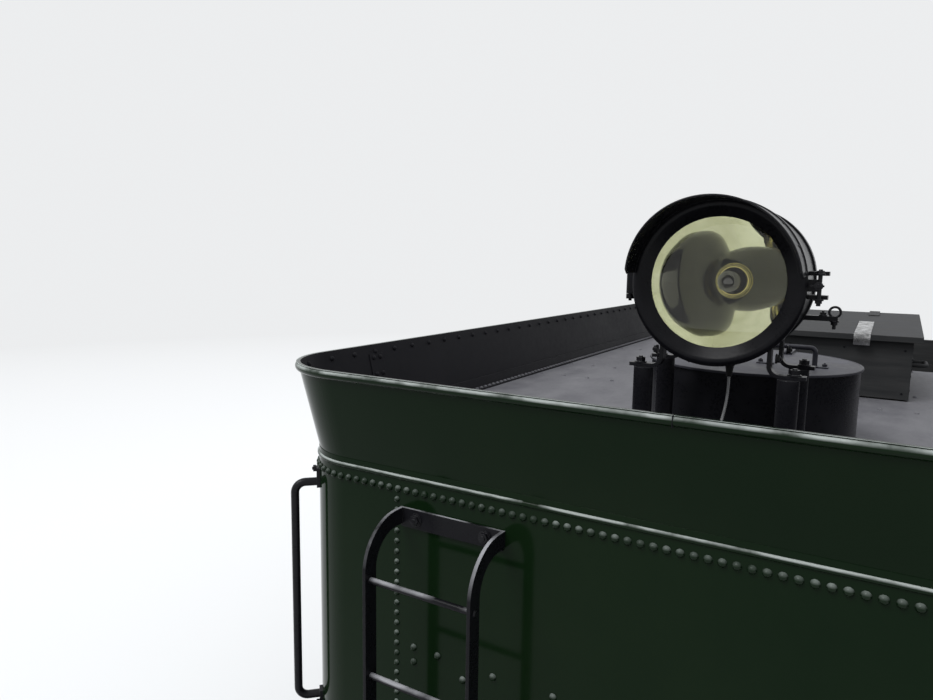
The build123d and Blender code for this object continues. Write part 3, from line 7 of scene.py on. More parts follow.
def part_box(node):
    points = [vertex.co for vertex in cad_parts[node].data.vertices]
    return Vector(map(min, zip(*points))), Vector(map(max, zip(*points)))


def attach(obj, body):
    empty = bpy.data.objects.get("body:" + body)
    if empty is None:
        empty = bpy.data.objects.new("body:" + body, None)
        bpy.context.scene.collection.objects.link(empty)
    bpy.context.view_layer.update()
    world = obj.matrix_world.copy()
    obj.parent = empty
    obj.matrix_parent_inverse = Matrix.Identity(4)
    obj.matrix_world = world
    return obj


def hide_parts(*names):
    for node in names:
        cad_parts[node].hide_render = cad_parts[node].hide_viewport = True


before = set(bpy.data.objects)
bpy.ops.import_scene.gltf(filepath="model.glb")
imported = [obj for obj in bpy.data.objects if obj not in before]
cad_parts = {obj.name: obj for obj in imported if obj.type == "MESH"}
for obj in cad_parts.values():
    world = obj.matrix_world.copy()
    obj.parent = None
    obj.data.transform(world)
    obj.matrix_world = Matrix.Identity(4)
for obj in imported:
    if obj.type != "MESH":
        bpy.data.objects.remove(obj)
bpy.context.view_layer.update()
print("frame loaded:", len(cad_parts), "nodes")

# places read from the frame, in metres
tankLow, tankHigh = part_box("tank_body")
rearX, frontX, halfWidth, frameTop = tankLow.x, tankHigh.x, tankHigh.y, tankLow.z
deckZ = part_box("tank_deck")[1].z
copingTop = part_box("coping")[1].z
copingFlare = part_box("coping")[1].y - halfWidth
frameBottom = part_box("frame_sills")[0].z
beamRear, beamFront = (corner.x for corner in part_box("end_beams"))
cornerRadius = 0.208
bothWays = (1, -1)
forward, rearward, leftward, upward, downward = (1, 0, 0), (-1, 0, 0), (0, 1, 0), (0, 0, 1), (0, 0, -1)


def at(back, left, up):
    # a place in mm from the tank's rear wall, the middle line and the deck
    return Vector((rearX + back / 1000, left / 1000, deckZ + up / 1000))


def off(place, x=0.0, y=0.0, z=0.0):
    return Vector(place) + Vector((x, y, z))


# colour and node helpers
def tone(colour):
    # from a grey level, from a level and its extra share of blue, or from red, green and blue
    if isinstance(colour, float):
        colour = (colour, 0.0)
    return (*colour, 1.0) if len(colour) == 3 else (colour[0], colour[0], colour[0] * (1 + colour[1]), 1.0)


def setInputs(tree, node, inputs):
    for key, value in inputs.items():
        if isinstance(value, bpy.types.NodeSocket):
            tree.links.new(value, node.inputs[key])
        else:
            node.inputs[key].default_value = value


def addNode(tree, kind, inputs=None, **settings):
    node = tree.nodes.new("ShaderNode" + kind)
    for key, value in settings.items():
        setattr(node, key, value)
    setInputs(tree, node, inputs or {})
    return node


def objectPlace(tree):
    return addNode(tree, "TexCoord").outputs["Object"]


def noise(tree, scale, detail):
    inputs = {"Vector": objectPlace(tree), "Scale": scale, "Detail": detail}
    return addNode(tree, "TexNoise", inputs).outputs["Fac"]


def vectorMaths(tree, operation, first, second=(0, 0, 0)):
    return addNode(tree, "VectorMath", {0: first, 1: second}, operation=operation).outputs


def mixColours(tree, factor, *pair):
    first, second = (value if isinstance(value, bpy.types.NodeSocket) else tone(value) for value in pair)
    return addNode(tree, "Mix", {0: factor, 6: first, 7: second}, data_type="RGBA").outputs[2]


def spread(tree, value, low, high, outLow=0.0, outHigh=1.0):
    ends = {"From Min": low, "From Max": high, "To Min": outLow, "To Max": outHigh}
    return addNode(tree, "MapRange", {"Value": value, **ends}).outputs[0]


def maths(tree, operation, first, second):
    return addNode(tree, "Math", {0: first, 1: second}, operation=operation).outputs[0]


def times(tree, first, second):
    return maths(tree, "MULTIPLY", first, second)


def newGroup(name, inputs, outputs):
    group = bpy.data.node_groups.new(name, "ShaderNodeTree")
    for label, kind, value in inputs:
        group.interface.new_socket(label, in_out="INPUT", socket_type="NodeSocket" + kind).default_value = value
    for label, kind in outputs:
        group.interface.new_socket(label, in_out="OUTPUT", socket_type="NodeSocket" + kind)
    return group, group.nodes.new("NodeGroupInput").outputs, group.nodes.new("NodeGroupOutput").inputs


# shared effects: blotches, worn edges, and dust on what faces up, which in some finishes is a painted highlight
effectLook = dict(patchDetail=6.0, patchRoughness=0.62, wornTurn=(0.99, 0.8), chipScale=55.0,
    chips=(0.42, 0.62), dustAndHighlightSlope=(0.1, 0.9), dustAndHighlightClumps=(0.35, 0.68), fineScale=9, finePatches=(0.35, 0.7),
    blotchShare=0.6, dustAndHighlightRough=0.5, grainDepth=0.002)


def makePatches():
    # soft blotches between a low and a high noise level
    group, given, out = newGroup("patches", [("Scale", "Float", 4.0), ("Low", "Float", 0.4),
        ("High", "Float", 0.7), ("Stretch", "Vector", (1.0, 1.0, 1.0))], [("Mask", "Float")])
    stretched = vectorMaths(group, "MULTIPLY", objectPlace(group), given["Stretch"])[0]
    cloud = addNode(group, "TexNoise", {"Vector": stretched, "Scale": given["Scale"],
        "Detail": effectLook["patchDetail"], "Roughness": effectLook["patchRoughness"]})
    group.links.new(spread(group, cloud.outputs["Fac"], given["Low"], given["High"]), out["Mask"])
    return group


def makeEdges():
    # worn edges and a slightly rounded normal
    group, given, out = newGroup("edges", [("Radius", "Float", 0.003), ("Amount", "Float", 1.0)],
        [("Mask", "Float"), ("Normal", "Vector")])
    rounded = addNode(group, "Bevel", {"Radius": given["Radius"]}, samples=4).outputs[0]
    plain = addNode(group, "NewGeometry").outputs["Normal"]
    facing = vectorMaths(group, "DOT_PRODUCT", rounded, plain)["Value"]
    away = spread(group, facing, *effectLook["wornTurn"])
    chips = spread(group, noise(group, effectLook["chipScale"], 4.0), *effectLook["chips"])
    group.links.new(times(group, times(group, away, chips), given["Amount"]), out["Mask"])
    group.links.new(rounded, out["Normal"])
    return group


def makeDustAndHighlight():
    # dust that settles on what faces up; in some finishes this mask paints a highlight on up-facing tops instead
    group, given, out = newGroup("dustAndHighlightGroup", [("Amount", "Float", 0.5), ("Scale", "Float", 9.0)],
        [("Mask", "Float")])
    height = addNode(group, "SeparateXYZ", {0: addNode(group, "NewGeometry").outputs["Normal"]}).outputs["Z"]
    clumps = spread(group, noise(group, given["Scale"], 5.0), *effectLook["dustAndHighlightClumps"])
    dustAndHighlightMask = times(group, spread(group, height, *effectLook["dustAndHighlightSlope"]), clumps)
    group.links.new(times(group, dustAndHighlightMask, given["Amount"]), out["Mask"])
    return group


patches, edges, dustAndHighlightGroup = makePatches(), makeEdges(), makeDustAndHighlight()
finishes = {}


def useGroup(tree, group, **values):
    return addNode(tree, "Group", values, node_tree=group).outputs


def blotches(tree, scale, low, high, stretch=(1, 1, 1)):
    return useGroup(tree, patches, Scale=scale, Low=low, High=high, Stretch=stretch)[0]


def newMaterial(name):
    finishes[name] = bpy.data.materials.new(name)
    finishes[name].use_nodes = True
    tree = finishes[name].node_tree
    return tree, tree.nodes["Principled BSDF"]


def paint(name, tones, grime, dustAndHighlight, worn, rough, grain, spec=0.14, stretch=(1, 1, 1), bevel=0.002, metal=0.0):
    # two tones in blotches, with dust on what faces up (a painted highlight in some finishes), worn edges and a fine
    # grain
    look = effectLook
    tree, shader = newMaterial(name)
    blotch = blotches(tree, *grime, stretch)
    fine = blotches(tree, grime[0] * look["fineScale"], *look["finePatches"], stretch)
    edge = useGroup(tree, edges, Radius=bevel, Amount=worn[0])
    dustAndHighlightMask = useGroup(tree, dustAndHighlightGroup, Amount=dustAndHighlight[0])[0]
    base = mixColours(tree, dustAndHighlightMask, mixColours(tree, blotch, *tones), dustAndHighlight[1])
    mottle = maths(tree, "ADD", times(tree, blotch, look["blotchShare"]),
        times(tree, fine, 1 - look["blotchShare"]))
    level = spread(tree, mottle, 0.0, 1.0, *rough)
    raised = addNode(tree, "Bump", {"Height": noise(tree, grain[0], 3.0), "Strength": grain[1],
        "Distance": look["grainDepth"], "Normal": edge["Normal"]})
    setInputs(tree, shader, {"Base Color": mixColours(tree, edge["Mask"], base, worn[1]), "Metallic": metal,
        "Specular IOR Level": spec, "Roughness": maths(tree, "ADD", level,
        times(tree, dustAndHighlightMask, look["dustAndHighlightRough"])), "Normal": raised.outputs[0]})
    return tree, shader


# paints and metals: two tones, grime (scale, low and high level), dust and wear (amount and tone), roughness range,
# grain (scale and strength) and what is not usual; each tone is given as function tone takes it; in rimGreen,
# rivetGreen and railBlack the dust column paints a highlight on up-facing tops
tankTones = ((0.0032, 0.0122, 0.0036), (0.0055, 0.0150, 0.0050))
clean, sootDust, fineGrain = (0.0, 0.1), (0.12, 0.105, 0.09), (140.0, 0.04)
tankGrime, blackGrime = (1.6, 0.35, 0.7), (14.0, 0.45, 0.8)
paintLooks = {
    "tankGreen": (tankTones, tankGrime, (0.1, 0.10), clean, (0.07, 0.15), (2.2, 0.05), dict(spec=0.07, bevel=0.001)),
    # the rim's light tone on up-facing parts is a painted highlight along the tops of the coping rim and waist bead
    "rimGreen": (tankTones, tankGrime, (2.6, (0.38, 0.41, 0.39)), clean, (0.10, 0.2), (40.0, 0.05),
        dict(spec=0.1, bevel=0.001)),
    # the rivets' light tone on up-facing parts is a painted highlight on the upper half of each dome
    "rivetGreen": (((0.0040, 0.0140, 0.0045), (0.0060, 0.0160, 0.0060)), (9.0, 0.35, 0.7), (0.8, (0.26, 0.29, 0.27)),
        clean, (0.06, 0.14), (40.0, 0.02), dict(spec=0.12, bevel=0.001)),
    "coalSteel": (((0.018, 0.016, 0.015), (0.046, 0.031, 0.022)), (3.0, 0.4, 0.7), (0.3, (0.05, 0.045, 0.04)),
        (0.6, 0.15), (0.5, 0.75), (50.0, 0.3), dict(spec=0.2)),
    "copingBlack": (((0.0125, 0.0123, 0.0148), (0.0190, 0.0184, 0.0210)), (4.0, 0.35, 0.75), (0.15, 0.08),
        (0.1, 0.08), (0.42, 0.6), (90.0, 0.05), dict(spec=0.05)),
    "blackPaint": (((0.0075, 0.25), (0.013, 0.2)), blackGrime, (0.15, 0.10), (0.3, 0.10), (0.25, 0.42),
        (160.0, 0.04), {}),
    "lampBlack": (((0.0045, 0.3), (0.009, 0.25)), blackGrime, (0.05, 0.10), (0.3, 0.10), (0.25, 0.42), (160.0, 0.04),
        dict(spec=0.10)),
    # much like blackPaint, with a painted highlight: a light tone on the up-facing tops of the ladder's rungs and
    # stiles
    "railBlack": (((0.0065, 0.25), (0.011, 0.2)), blackGrime, (1.5, (0.34, 0.05)), (0.3, 0.10), (0.25, 0.42),
        (160.0, 0.04), dict(spec=0.10)),
    # up-facing parts of the filler lid turn a lighter blue-grey
    "lidBlack": (((0.020, 0.3), (0.035, 0.25)), (6.0, 0.4, 0.75), (0.55, (0.17, 0.12)), (0.3, 0.16), (0.35, 0.55),
        (60.0, 0.1), dict(spec=0.2)),
    "frameBlack": ((0.018, (0.042, 0.037, 0.032)), (5.0, 0.45, 0.75), (0.45, sootDust), (0.4, (0.11, 0.08, 0.06)),
        (0.35, 0.6), (110.0, 0.1), {}),
    "bogieBlack": ((0.024, (0.060, 0.050, 0.040)), (7.0, 0.42, 0.7), (0.6, (0.14, 0.12, 0.10)),
        (0.5, (0.15, 0.11, 0.08)), (0.3, 0.62), (80.0, 0.15), {}),
    "deckGrey": (((0.088, 0.087, 0.098), (0.150, 0.148, 0.158)), (2.6, 0.30, 0.72), (0.12, 0.3), (0.3, 0.25),
        (0.45, 0.65), (60.0, 0.12), dict(stretch=(1.0, 2.2, 1.0))),
    "castIron": ((0.03, (0.07, 0.045, 0.03)), (9.0, 0.4, 0.7), (0.4, (0.15, 0.12, 0.1)), (0.8, 0.35), (0.4, 0.6),
        (70.0, 0.25), dict(metal=0.4)),
    "woodPaint": (((0.026, 0.027, 0.028), 0.045), (7.0, 0.35, 0.75), (0.35, (0.11, 0.06)), (0.6, (0.16, 0.15, 0.14)),
        (0.5, 0.7), (30.0, 0.25), dict(stretch=(6.0, 0.5, 6.0), spec=0.12)),
    "beamWood": ((0.013, (0.030, 0.026, 0.022)), (5.0, 0.4, 0.72), (0.4, sootDust), (0.7, (0.10, 0.07, 0.05)),
        (0.4, 0.65), (24.0, 0.4), dict(stretch=(5.0, 0.4, 5.0))),
    "brightSteel": ((0.55, 0.20), (40.0, 0.4, 0.6), (0.1, 0.2), clean, (0.2, 0.45), (200.0, 0.1), dict(metal=1.0)),
    "brassRing": (((0.70, 0.62, 0.26), (0.55, 0.48, 0.20)), (30.0, 0.4, 0.7), clean, clean, (0.12, 0.25), fineGrain,
        dict(metal=1.0)),
    "conduitGrey": ((0.30, 0.20), (40.0, 0.4, 0.7), clean, clean, (0.45, 0.6), fineGrain, {}),
    "rubber": ((0.012, 0.022), (12.0, 0.4, 0.7), (0.3, 0.1), (0.2, 0.1), (0.5, 0.7), fineGrain, {}),
    "bulbDark": (((0.012, 0.011, 0.010), (0.020, 0.018, 0.014)), (60.0, 0.4, 0.7), clean, clean, (0.03, 0.08),
        (20.0, 0.0), dict(spec=0.9)),
}
for label, (*columns, unusual) in paintLooks.items():
    paint(label, *columns, **unusual)

# the wheels' paint, with the radii between which it turns bright
wheelLook = dict(painted=((0.026, (0.065, 0.053, 0.040)), (8.0, 0.4, 0.7), (0.5, (0.13, 0.11, 0.09)),
    (0.3, 0.2), (0.4, 0.65), (70.0, 0.15)), brightFrom=(0.3215, 0.3235), bright=0.5, metal=0.95, smoother=0.2)


def wheelPaint(name, centre):
    # oily black wheels whose treads and flanges are rubbed bright
    look = wheelLook
    tree, shader = paint(name, *look["painted"])
    moved = vectorMaths(tree, "SUBTRACT", objectPlace(tree), centre)[0]
    flat = vectorMaths(tree, "MULTIPLY", moved, (1, 0, 1))[0]
    bright = spread(tree, vectorMaths(tree, "LENGTH", flat)["Value"], *look["brightFrom"])
    colour, level = (shader.inputs[label].links[0].from_socket for label in ("Base Color", "Roughness"))
    setInputs(tree, shader, {"Base Color": mixColours(tree, bright, colour, look["bright"]),
        "Metallic": times(tree, bright, look["metal"]), "Roughness": maths(tree, "SUBTRACT", level,
        times(tree, bright, look["smoother"]))})
    return name


# the lamp's clear pane and its tarnished mirror
opticsLook = dict(pane=(0.99, 0.99, 0.95), paneIndex=1.3, silver=(0.76, 0.77, 0.64), tarnish=(0.58, 0.59, 0.43),
    clouds=(9.0, 0.4, 0.75), mirrorRoughness=0.02)


def makeOptics():
    look = opticsLook
    tree, shader = newMaterial("lampGlass")
    setInputs(tree, shader, {"Roughness": 0.0, "Base Color": tone(look["pane"]), "Transmission Weight": 1.0,
        "IOR": look["paneIndex"]})
    tree, shader = newMaterial("reflectorSilver")
    cloud = blotches(tree, *look["clouds"])
    setInputs(tree, shader, {"Base Color": mixColours(tree, cloud, look["silver"], look["tarnish"]),
        "Roughness": look["mirrorRoughness"], "Metallic": 1.0})


makeOptics()
print("materials made:", len(bpy.data.materials))


# mesh helpers
def addToScene(name, data):
    thing = bpy.data.objects.new(name, data)
    bpy.context.scene.collection.objects.link(thing)
    return thing


def addPiece(name, bm, finish="blackPaint", body="root", smooth=35, stands=()):
    mesh = bpy.data.meshes.new(name)
    bm.to_mesh(mesh)
    bm.free()
    mesh.shade_smooth()
    mesh.set_sharp_from_angle(angle=radians(smooth))
    for label in [finish] if isinstance(finish, str) else finish:
        mesh.materials.append(finishes[label])
    piece = addToScene(name, mesh)
    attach(piece, body)
    if stands:
        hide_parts(*stands)


def newVerts(bm, before):
    bm.verts.ensure_lookup_table()
    return bm.verts[before:]


def turnTo(direction):
    return Vector((0, 0, 1)).rotation_difference(Vector(direction)).to_matrix().to_4x4()


def addBox(bm, middle, size, soften=0.002):
    made = bmesh.ops.create_cube(bm, size=1.0)["verts"]
    bmesh.ops.scale(bm, vec=size, verts=made)
    bmesh.ops.translate(bm, vec=middle, verts=made)
    if soften:
        rims = list({edge for vert in made for edge in vert.link_edges})
        bmesh.ops.bevel(bm, geom=rims, offset=soften, affect="EDGES", segments=2, profile=0.5, material=-1)


def addBlock(bm, first, last, soften=0.002):
    # a block between two opposite corners
    first, last = Vector(first), Vector(last)
    addBox(bm, (first + last) / 2, [abs(length) for length in last - first], soften)


def addRod(bm, start, run, radius, sides=20, endRadius=None):
    # a capped rod, or a cone, from start along run
    run = Vector(run)
    made = bmesh.ops.create_cone(bm, cap_ends=True, segments=sides, radius1=radius,
        radius2=radius if endRadius is None else endRadius, depth=run.length)["verts"]
    bmesh.ops.transform(bm, matrix=Matrix.Translation(Vector(start) + run / 2) @ turnTo(run), verts=made)


nutLook = dict(sunk=0.001, washer=0.0025, washerWide=0.72, hexWide=0.56, boltWide=0.27, boltEnd=0.003)


def addNut(bm, place, normal, size, washer=True):
    # a hexagon nut with the bolt's end showing; size is its width and height
    look, normal, (across, height) = nutLook, Vector(normal), size
    if washer:
        addRod(bm, Vector(place) - normal * look["sunk"], normal * (look["sunk"] + look["washer"]),
            across * look["washerWide"], sides=18)
    addRod(bm, place, normal * (look["washer"] + height), across * look["hexWide"], sides=6)
    addRod(bm, place, normal * (look["washer"] + height + look["boltEnd"]), across * look["boltWide"], sides=10)


def addNutRing(bm, centre, axis, radius, count, size, start=0.5):
    # bare nuts round an upright or lengthwise axis
    for step in range(count):
        a = 2 * pi * (step + start) / count
        spoke = (cos(a), sin(a), 0) if axis[2] else (0, cos(a), sin(a))
        addNut(bm, Vector(centre) + radius * Vector(spoke), axis, size, washer=False)


def reflect(bm):
    # adds the same shapes on the other side of the middle line
    made = bmesh.ops.duplicate(bm, geom=bm.verts[:] + bm.edges[:] + bm.faces[:])["geom"]
    bmesh.ops.scale(bm, vec=(1, -1, 1), verts=[item for item in made if isinstance(item, bmesh.types.BMVert)])
    bmesh.ops.reverse_faces(bm, faces=[item for item in made if isinstance(item, bmesh.types.BMFace)])


def circle(radius, depth, count, out=0.0):
    # (radius, along) points round a small circle
    turns = [2 * pi * step / count for step in range(count)]
    return [(out + radius * cos(a), depth * sin(a)) for a in turns]


def spinProfile(bm, points, centre, axis, steps=64, closed=False):
    # turns (radius, along) points about an axis through centre
    axis = Vector(axis)
    side = axis.orthogonal().normalized()
    turned = bmesh.new()
    made = [turned.verts.new(Vector(centre) + side * radius + axis * along) for radius, along in points]
    pairs = list(zip(made, made[1:])) + ([(made[-1], made[0])] if closed else [])
    lines = [turned.edges.new(pair) for pair in pairs]
    bmesh.ops.spin(turned, geom=made + lines, cent=centre, axis=axis, angle=2 * pi, steps=steps, use_merge=True)
    bmesh.ops.remove_doubles(turned, verts=turned.verts, dist=0.00002)
    bmesh.ops.recalc_face_normals(turned, faces=turned.faces)
    mesh = bpy.data.meshes.new("turned")
    turned.to_mesh(mesh)
    turned.free()
    bm.from_mesh(mesh)
    bpy.data.meshes.remove(mesh)


def wrapTank(profile, cornerSteps=20):
    # sweeps a closed (out, up) profile from the left front round the rear to the right front
    bm = bmesh.new()
    made = [bm.verts.new((frontX, halfWidth + out, up)) for out, up in profile]
    run = made + [bm.edges.new(pair) for pair in zip(made, made[1:] + made[:1])]
    long, wide = frontX - rearX - cornerRadius, 2 * (halfWidth - cornerRadius)
    for move, corner in (((-long, 0, 0), wide / 2), ((0, -wide, 0), -wide / 2), ((long, 0, 0), None)):
        before = len(bm.verts)
        bmesh.ops.extrude_edge_only(bm, edges=[item for item in run if isinstance(item, bmesh.types.BMEdge)])
        moved = newVerts(bm, before)
        bmesh.ops.translate(bm, vec=move, verts=moved)
        run = list(moved) + [edge for edge in bm.edges if edge.verts[0] in moved and edge.verts[1] in moved]
        if corner is not None:
            run = bmesh.ops.spin(bm, geom=run, cent=(rearX + cornerRadius, corner, 0), axis=upward,
                angle=pi / 2, steps=cornerSteps)["geom_last"]
    bmesh.ops.remove_doubles(bm, verts=bm.verts, dist=0.00001)
    bmesh.ops.holes_fill(bm, edges=[edge for edge in bm.edges if edge.is_boundary], sides=0)
    bmesh.ops.recalc_face_normals(bm, faces=bm.faces)
    return bm


def outwardAt(place):
    # the tank wall's outward direction beside a place
    near = Vector((max(place.x, rearX + cornerRadius), max(min(place.y, halfWidth - cornerRadius),
        cornerRadius - halfWidth), place.z))
    return (place - near).normalized()


def alongTank(spacing, out, up, start=0.02):
    # evenly spaced (place, outward) pairs along the tank's outline
    straight, wide, bend = frontX - rearX - cornerRadius, 2 * (halfWidth - cornerRadius), cornerRadius * pi / 2
    total = 2 * straight + wide + 2 * bend
    spots = []
    for step in range(int((total - start) // spacing) + 1):
        run = start + step * spacing
        side = -1 if run > total / 2 else 1
        run = min(run, total - run)
        if run < straight:
            place, normal = Vector((frontX - run, halfWidth, up)), Vector((0, 1, 0))
        elif run < straight + bend:
            angle = pi / 2 + (run - straight) / cornerRadius
            normal = Vector((cos(angle), sin(angle), 0))
            place = Vector((rearX + cornerRadius, halfWidth - cornerRadius, up)) + normal * cornerRadius
        else:
            place = Vector((rearX, halfWidth - cornerRadius - (run - straight - bend), up))
            normal = Vector(rearward)
        place.y, normal.y = side * place.y, side * normal.y
        spots.append((place + normal * out, normal))
    return spots


def scatterHeads(name, spots, size, finish, sides=10, body="root"):
    # domed rivet heads at (place, outward) pairs; size is their radius and height
    single = bmesh.new()
    dome = [(size[0] * cos(a), size[1] * sin(a)) for a in (0.0, 0.5, 1.0)] + [(0.0, size[1])]
    spinProfile(single, dome, (0, 0, 0), upward, steps=sides)
    template = bpy.data.meshes.new(name + "Single")
    single.to_mesh(template)
    single.free()
    bm = bmesh.new()
    for place, normal in spots:
        before = len(bm.verts)
        bm.from_mesh(template)
        bmesh.ops.transform(bm, matrix=Matrix.Translation(place) @ turnTo(normal), verts=newVerts(bm, before))
    bpy.data.meshes.remove(template)
    addPiece(name, bm, finish, body, smooth=50)


def curvedLine(points, radius, steps=7):
    # rounds the corners of a broken line
    out = [points[0]]
    for before, corner, after in zip(points, points[1:], points[2:]):
        reach = min(radius, (before - corner).length / 2, (after - corner).length / 2)
        first = corner + (before - corner).normalized() * reach
        last = corner + (after - corner).normalized() * reach
        for step in range(steps + 1):
            share = step / steps
            out.append(first * (1 - share) ** 2 + corner * 2 * share * (1 - share) + last * share ** 2)
    return out + [points[-1]]


def addTube(bm, points, radius, sides=12, ribs=None):
    # sweeps a circle along points; ribs gives a pitch and a depth
    if ribs:
        dense = []
        for first, last in zip(points, points[1:]):
            count = max(1, round((last - first).length / (ribs[0] / 4)))
            dense += [first.lerp(last, step / count) for step in range(count)]
        points = dense + [points[-1]]
    across = (points[1] - points[0]).orthogonal().normalized()
    rings = []
    for index, point in enumerate(points):
        ahead = (points[min(index + 1, len(points) - 1)] - points[max(index - 1, 0)]).normalized()
        across = (across - ahead * across.dot(ahead)).normalized()
        other = ahead.cross(across)
        size = radius - (ribs[1] if ribs and index % 4 < 2 else 0)
        rings.append([bm.verts.new(point + across * x + other * y) for x, y in circle(size, size, sides)])
    for near, far in zip(rings, rings[1:]):
        for step in range(sides):
            after = (step + 1) % sides
            bm.faces.new((near[step], near[after], far[after], far[step]))
    bm.faces.new(rings[0][::-1])
    bm.faces.new(rings[-1])
    bmesh.ops.recalc_face_normals(bm, faces=bm.faces)


# tank sides, coping, rim and waist bead
tankLook = dict(skin=0.0010, skinTop=0.009, plate=0.008, rimHeight=0.024, rimOut=0.007, waistDrop=0.030,
    waistHeight=0.013, waistOut=0.006, angleWide=0.040, angleThick=0.006, angleLean=0.009, rimJointShade=-0.007,
    jointHalf=0.0008, seat=0.001)


def halfRound(out, middle, height, depth, steps=8):
    turns = [-pi / 2 + pi * step / steps for step in range(steps + 1)]
    return [(out + depth * cos(a), middle + height / 2 * sin(a)) for a in turns]


def makeTankShell():
    look = tankLook
    seat, plate, rim, rimOut = look["seat"], look["plate"], look["rimHeight"], look["rimOut"]
    low, high = frameTop + seat, deckZ - look["skinTop"]
    addPiece("tankSkin", wrapTank([(0.0, low), (look["skin"], low), (look["skin"], high), (0.0, high)]),
        "tankGreen")
    base = deckZ - plate
    coping = wrapTank([(0, base), (copingFlare, copingTop), (copingFlare - plate, copingTop), (-plate, base)])
    for face in coping.faces:
        face.material_index = int(face.normal.dot(outwardAt(face.calc_center_median())) < -0.3)
    addPiece("copingSheet", coping, ("tankGreen", "copingBlack"), stands=("coping",))
    inner = copingFlare - rim * copingFlare / (copingTop - base)
    arc = halfRound(inner + seat, copingTop - rim / 2, rim, rimOut + copingFlare - inner - seat, steps=10)
    top = [(copingFlare + rimOut * 0.5, copingTop), (copingFlare, copingTop)]
    addPiece("copingRim", wrapTank([(inner, copingTop - rim)] + arc[:-2] + top), "rimGreen",
        stands=("coping_rim",))
    # the rim's butt joint is a thin dark sliver across the rim that paints the shade in its gap
    joint = bmesh.new()
    back, left, half = rearX - copingFlare, look["rimJointShade"], look["jointHalf"]
    addBlock(joint, (back - rimOut - 0.0004, left - half, copingTop - rim),
        (back + 0.004, left + half, copingTop + 0.0006), soften=0)
    addPiece("rimJointShade", joint, "copingBlack")
    waist, half = deckZ - look["waistDrop"], look["waistHeight"] / 2
    bead = [(0, waist - half)] + halfRound(seat, waist, 2 * half, look["waistOut"] - seat) + [(0, waist + half)]
    addPiece("waistBead", wrapTank(bead), "rimGreen", stands=("waist_bead",))
    inside, thick, wide = -plate - 0.0005, look["angleThick"], look["angleWide"]
    lean = inside + look["angleLean"]
    angle = [(inside, deckZ), (lean, deckZ + wide), (lean - thick, deckZ + wide),
        (inside - thick, deckZ + thick), (inside - wide, deckZ + thick), (inside - wide, deckZ)]
    addPiece("copingAngle", wrapTank(angle), "copingBlack")


makeTankShell()
print("tank shell made")

# rivets: sizes are radius and height, stays and deck rows are in mm
rivetLook = dict(size=(0.0098, 0.0088), pitch=0.028, bandDrop=0.063, footUp=0.035, seamPitch=0.0286,
    seamSize=0.85, rearSeam=0.710, seams=(1.18, 2.36, 3.54), seamHalf=0.03,
    stays=((654, -488), (654, -529), (578, -488), (414, -490), (501, -528), (252, -485), (-120, -486),
    (-252, -528), (-414, -490), (-578, -488), (-654, -529), (578, -820), (252, -818), (-252, -820),
    (-578, -818), (414, -862), (-414, -860)), sideStays=(-488, -820), stayRun=(300, 4600, 290), seamClear=0.08,
    copingPitch=0.108, copingStart=0.146, copingDrop=0.024, copingSize=(0.9, 0.7), straps=(0.433, 0.467),
    strapPitch=0.055, strapThick=0.003, deckSize=(0.0085, 0.006), deckRows=(1554, 1915, 2690), deckPitch=115,
    boxHalf=460, coalEdge=722, coalRun=(2760, 4650, 70), anglePitch=0.034, angleIn=-0.035, legSize=0.8,
    legs=(0.74, 1.06), legPitch=0.034, legDrop=0.06)


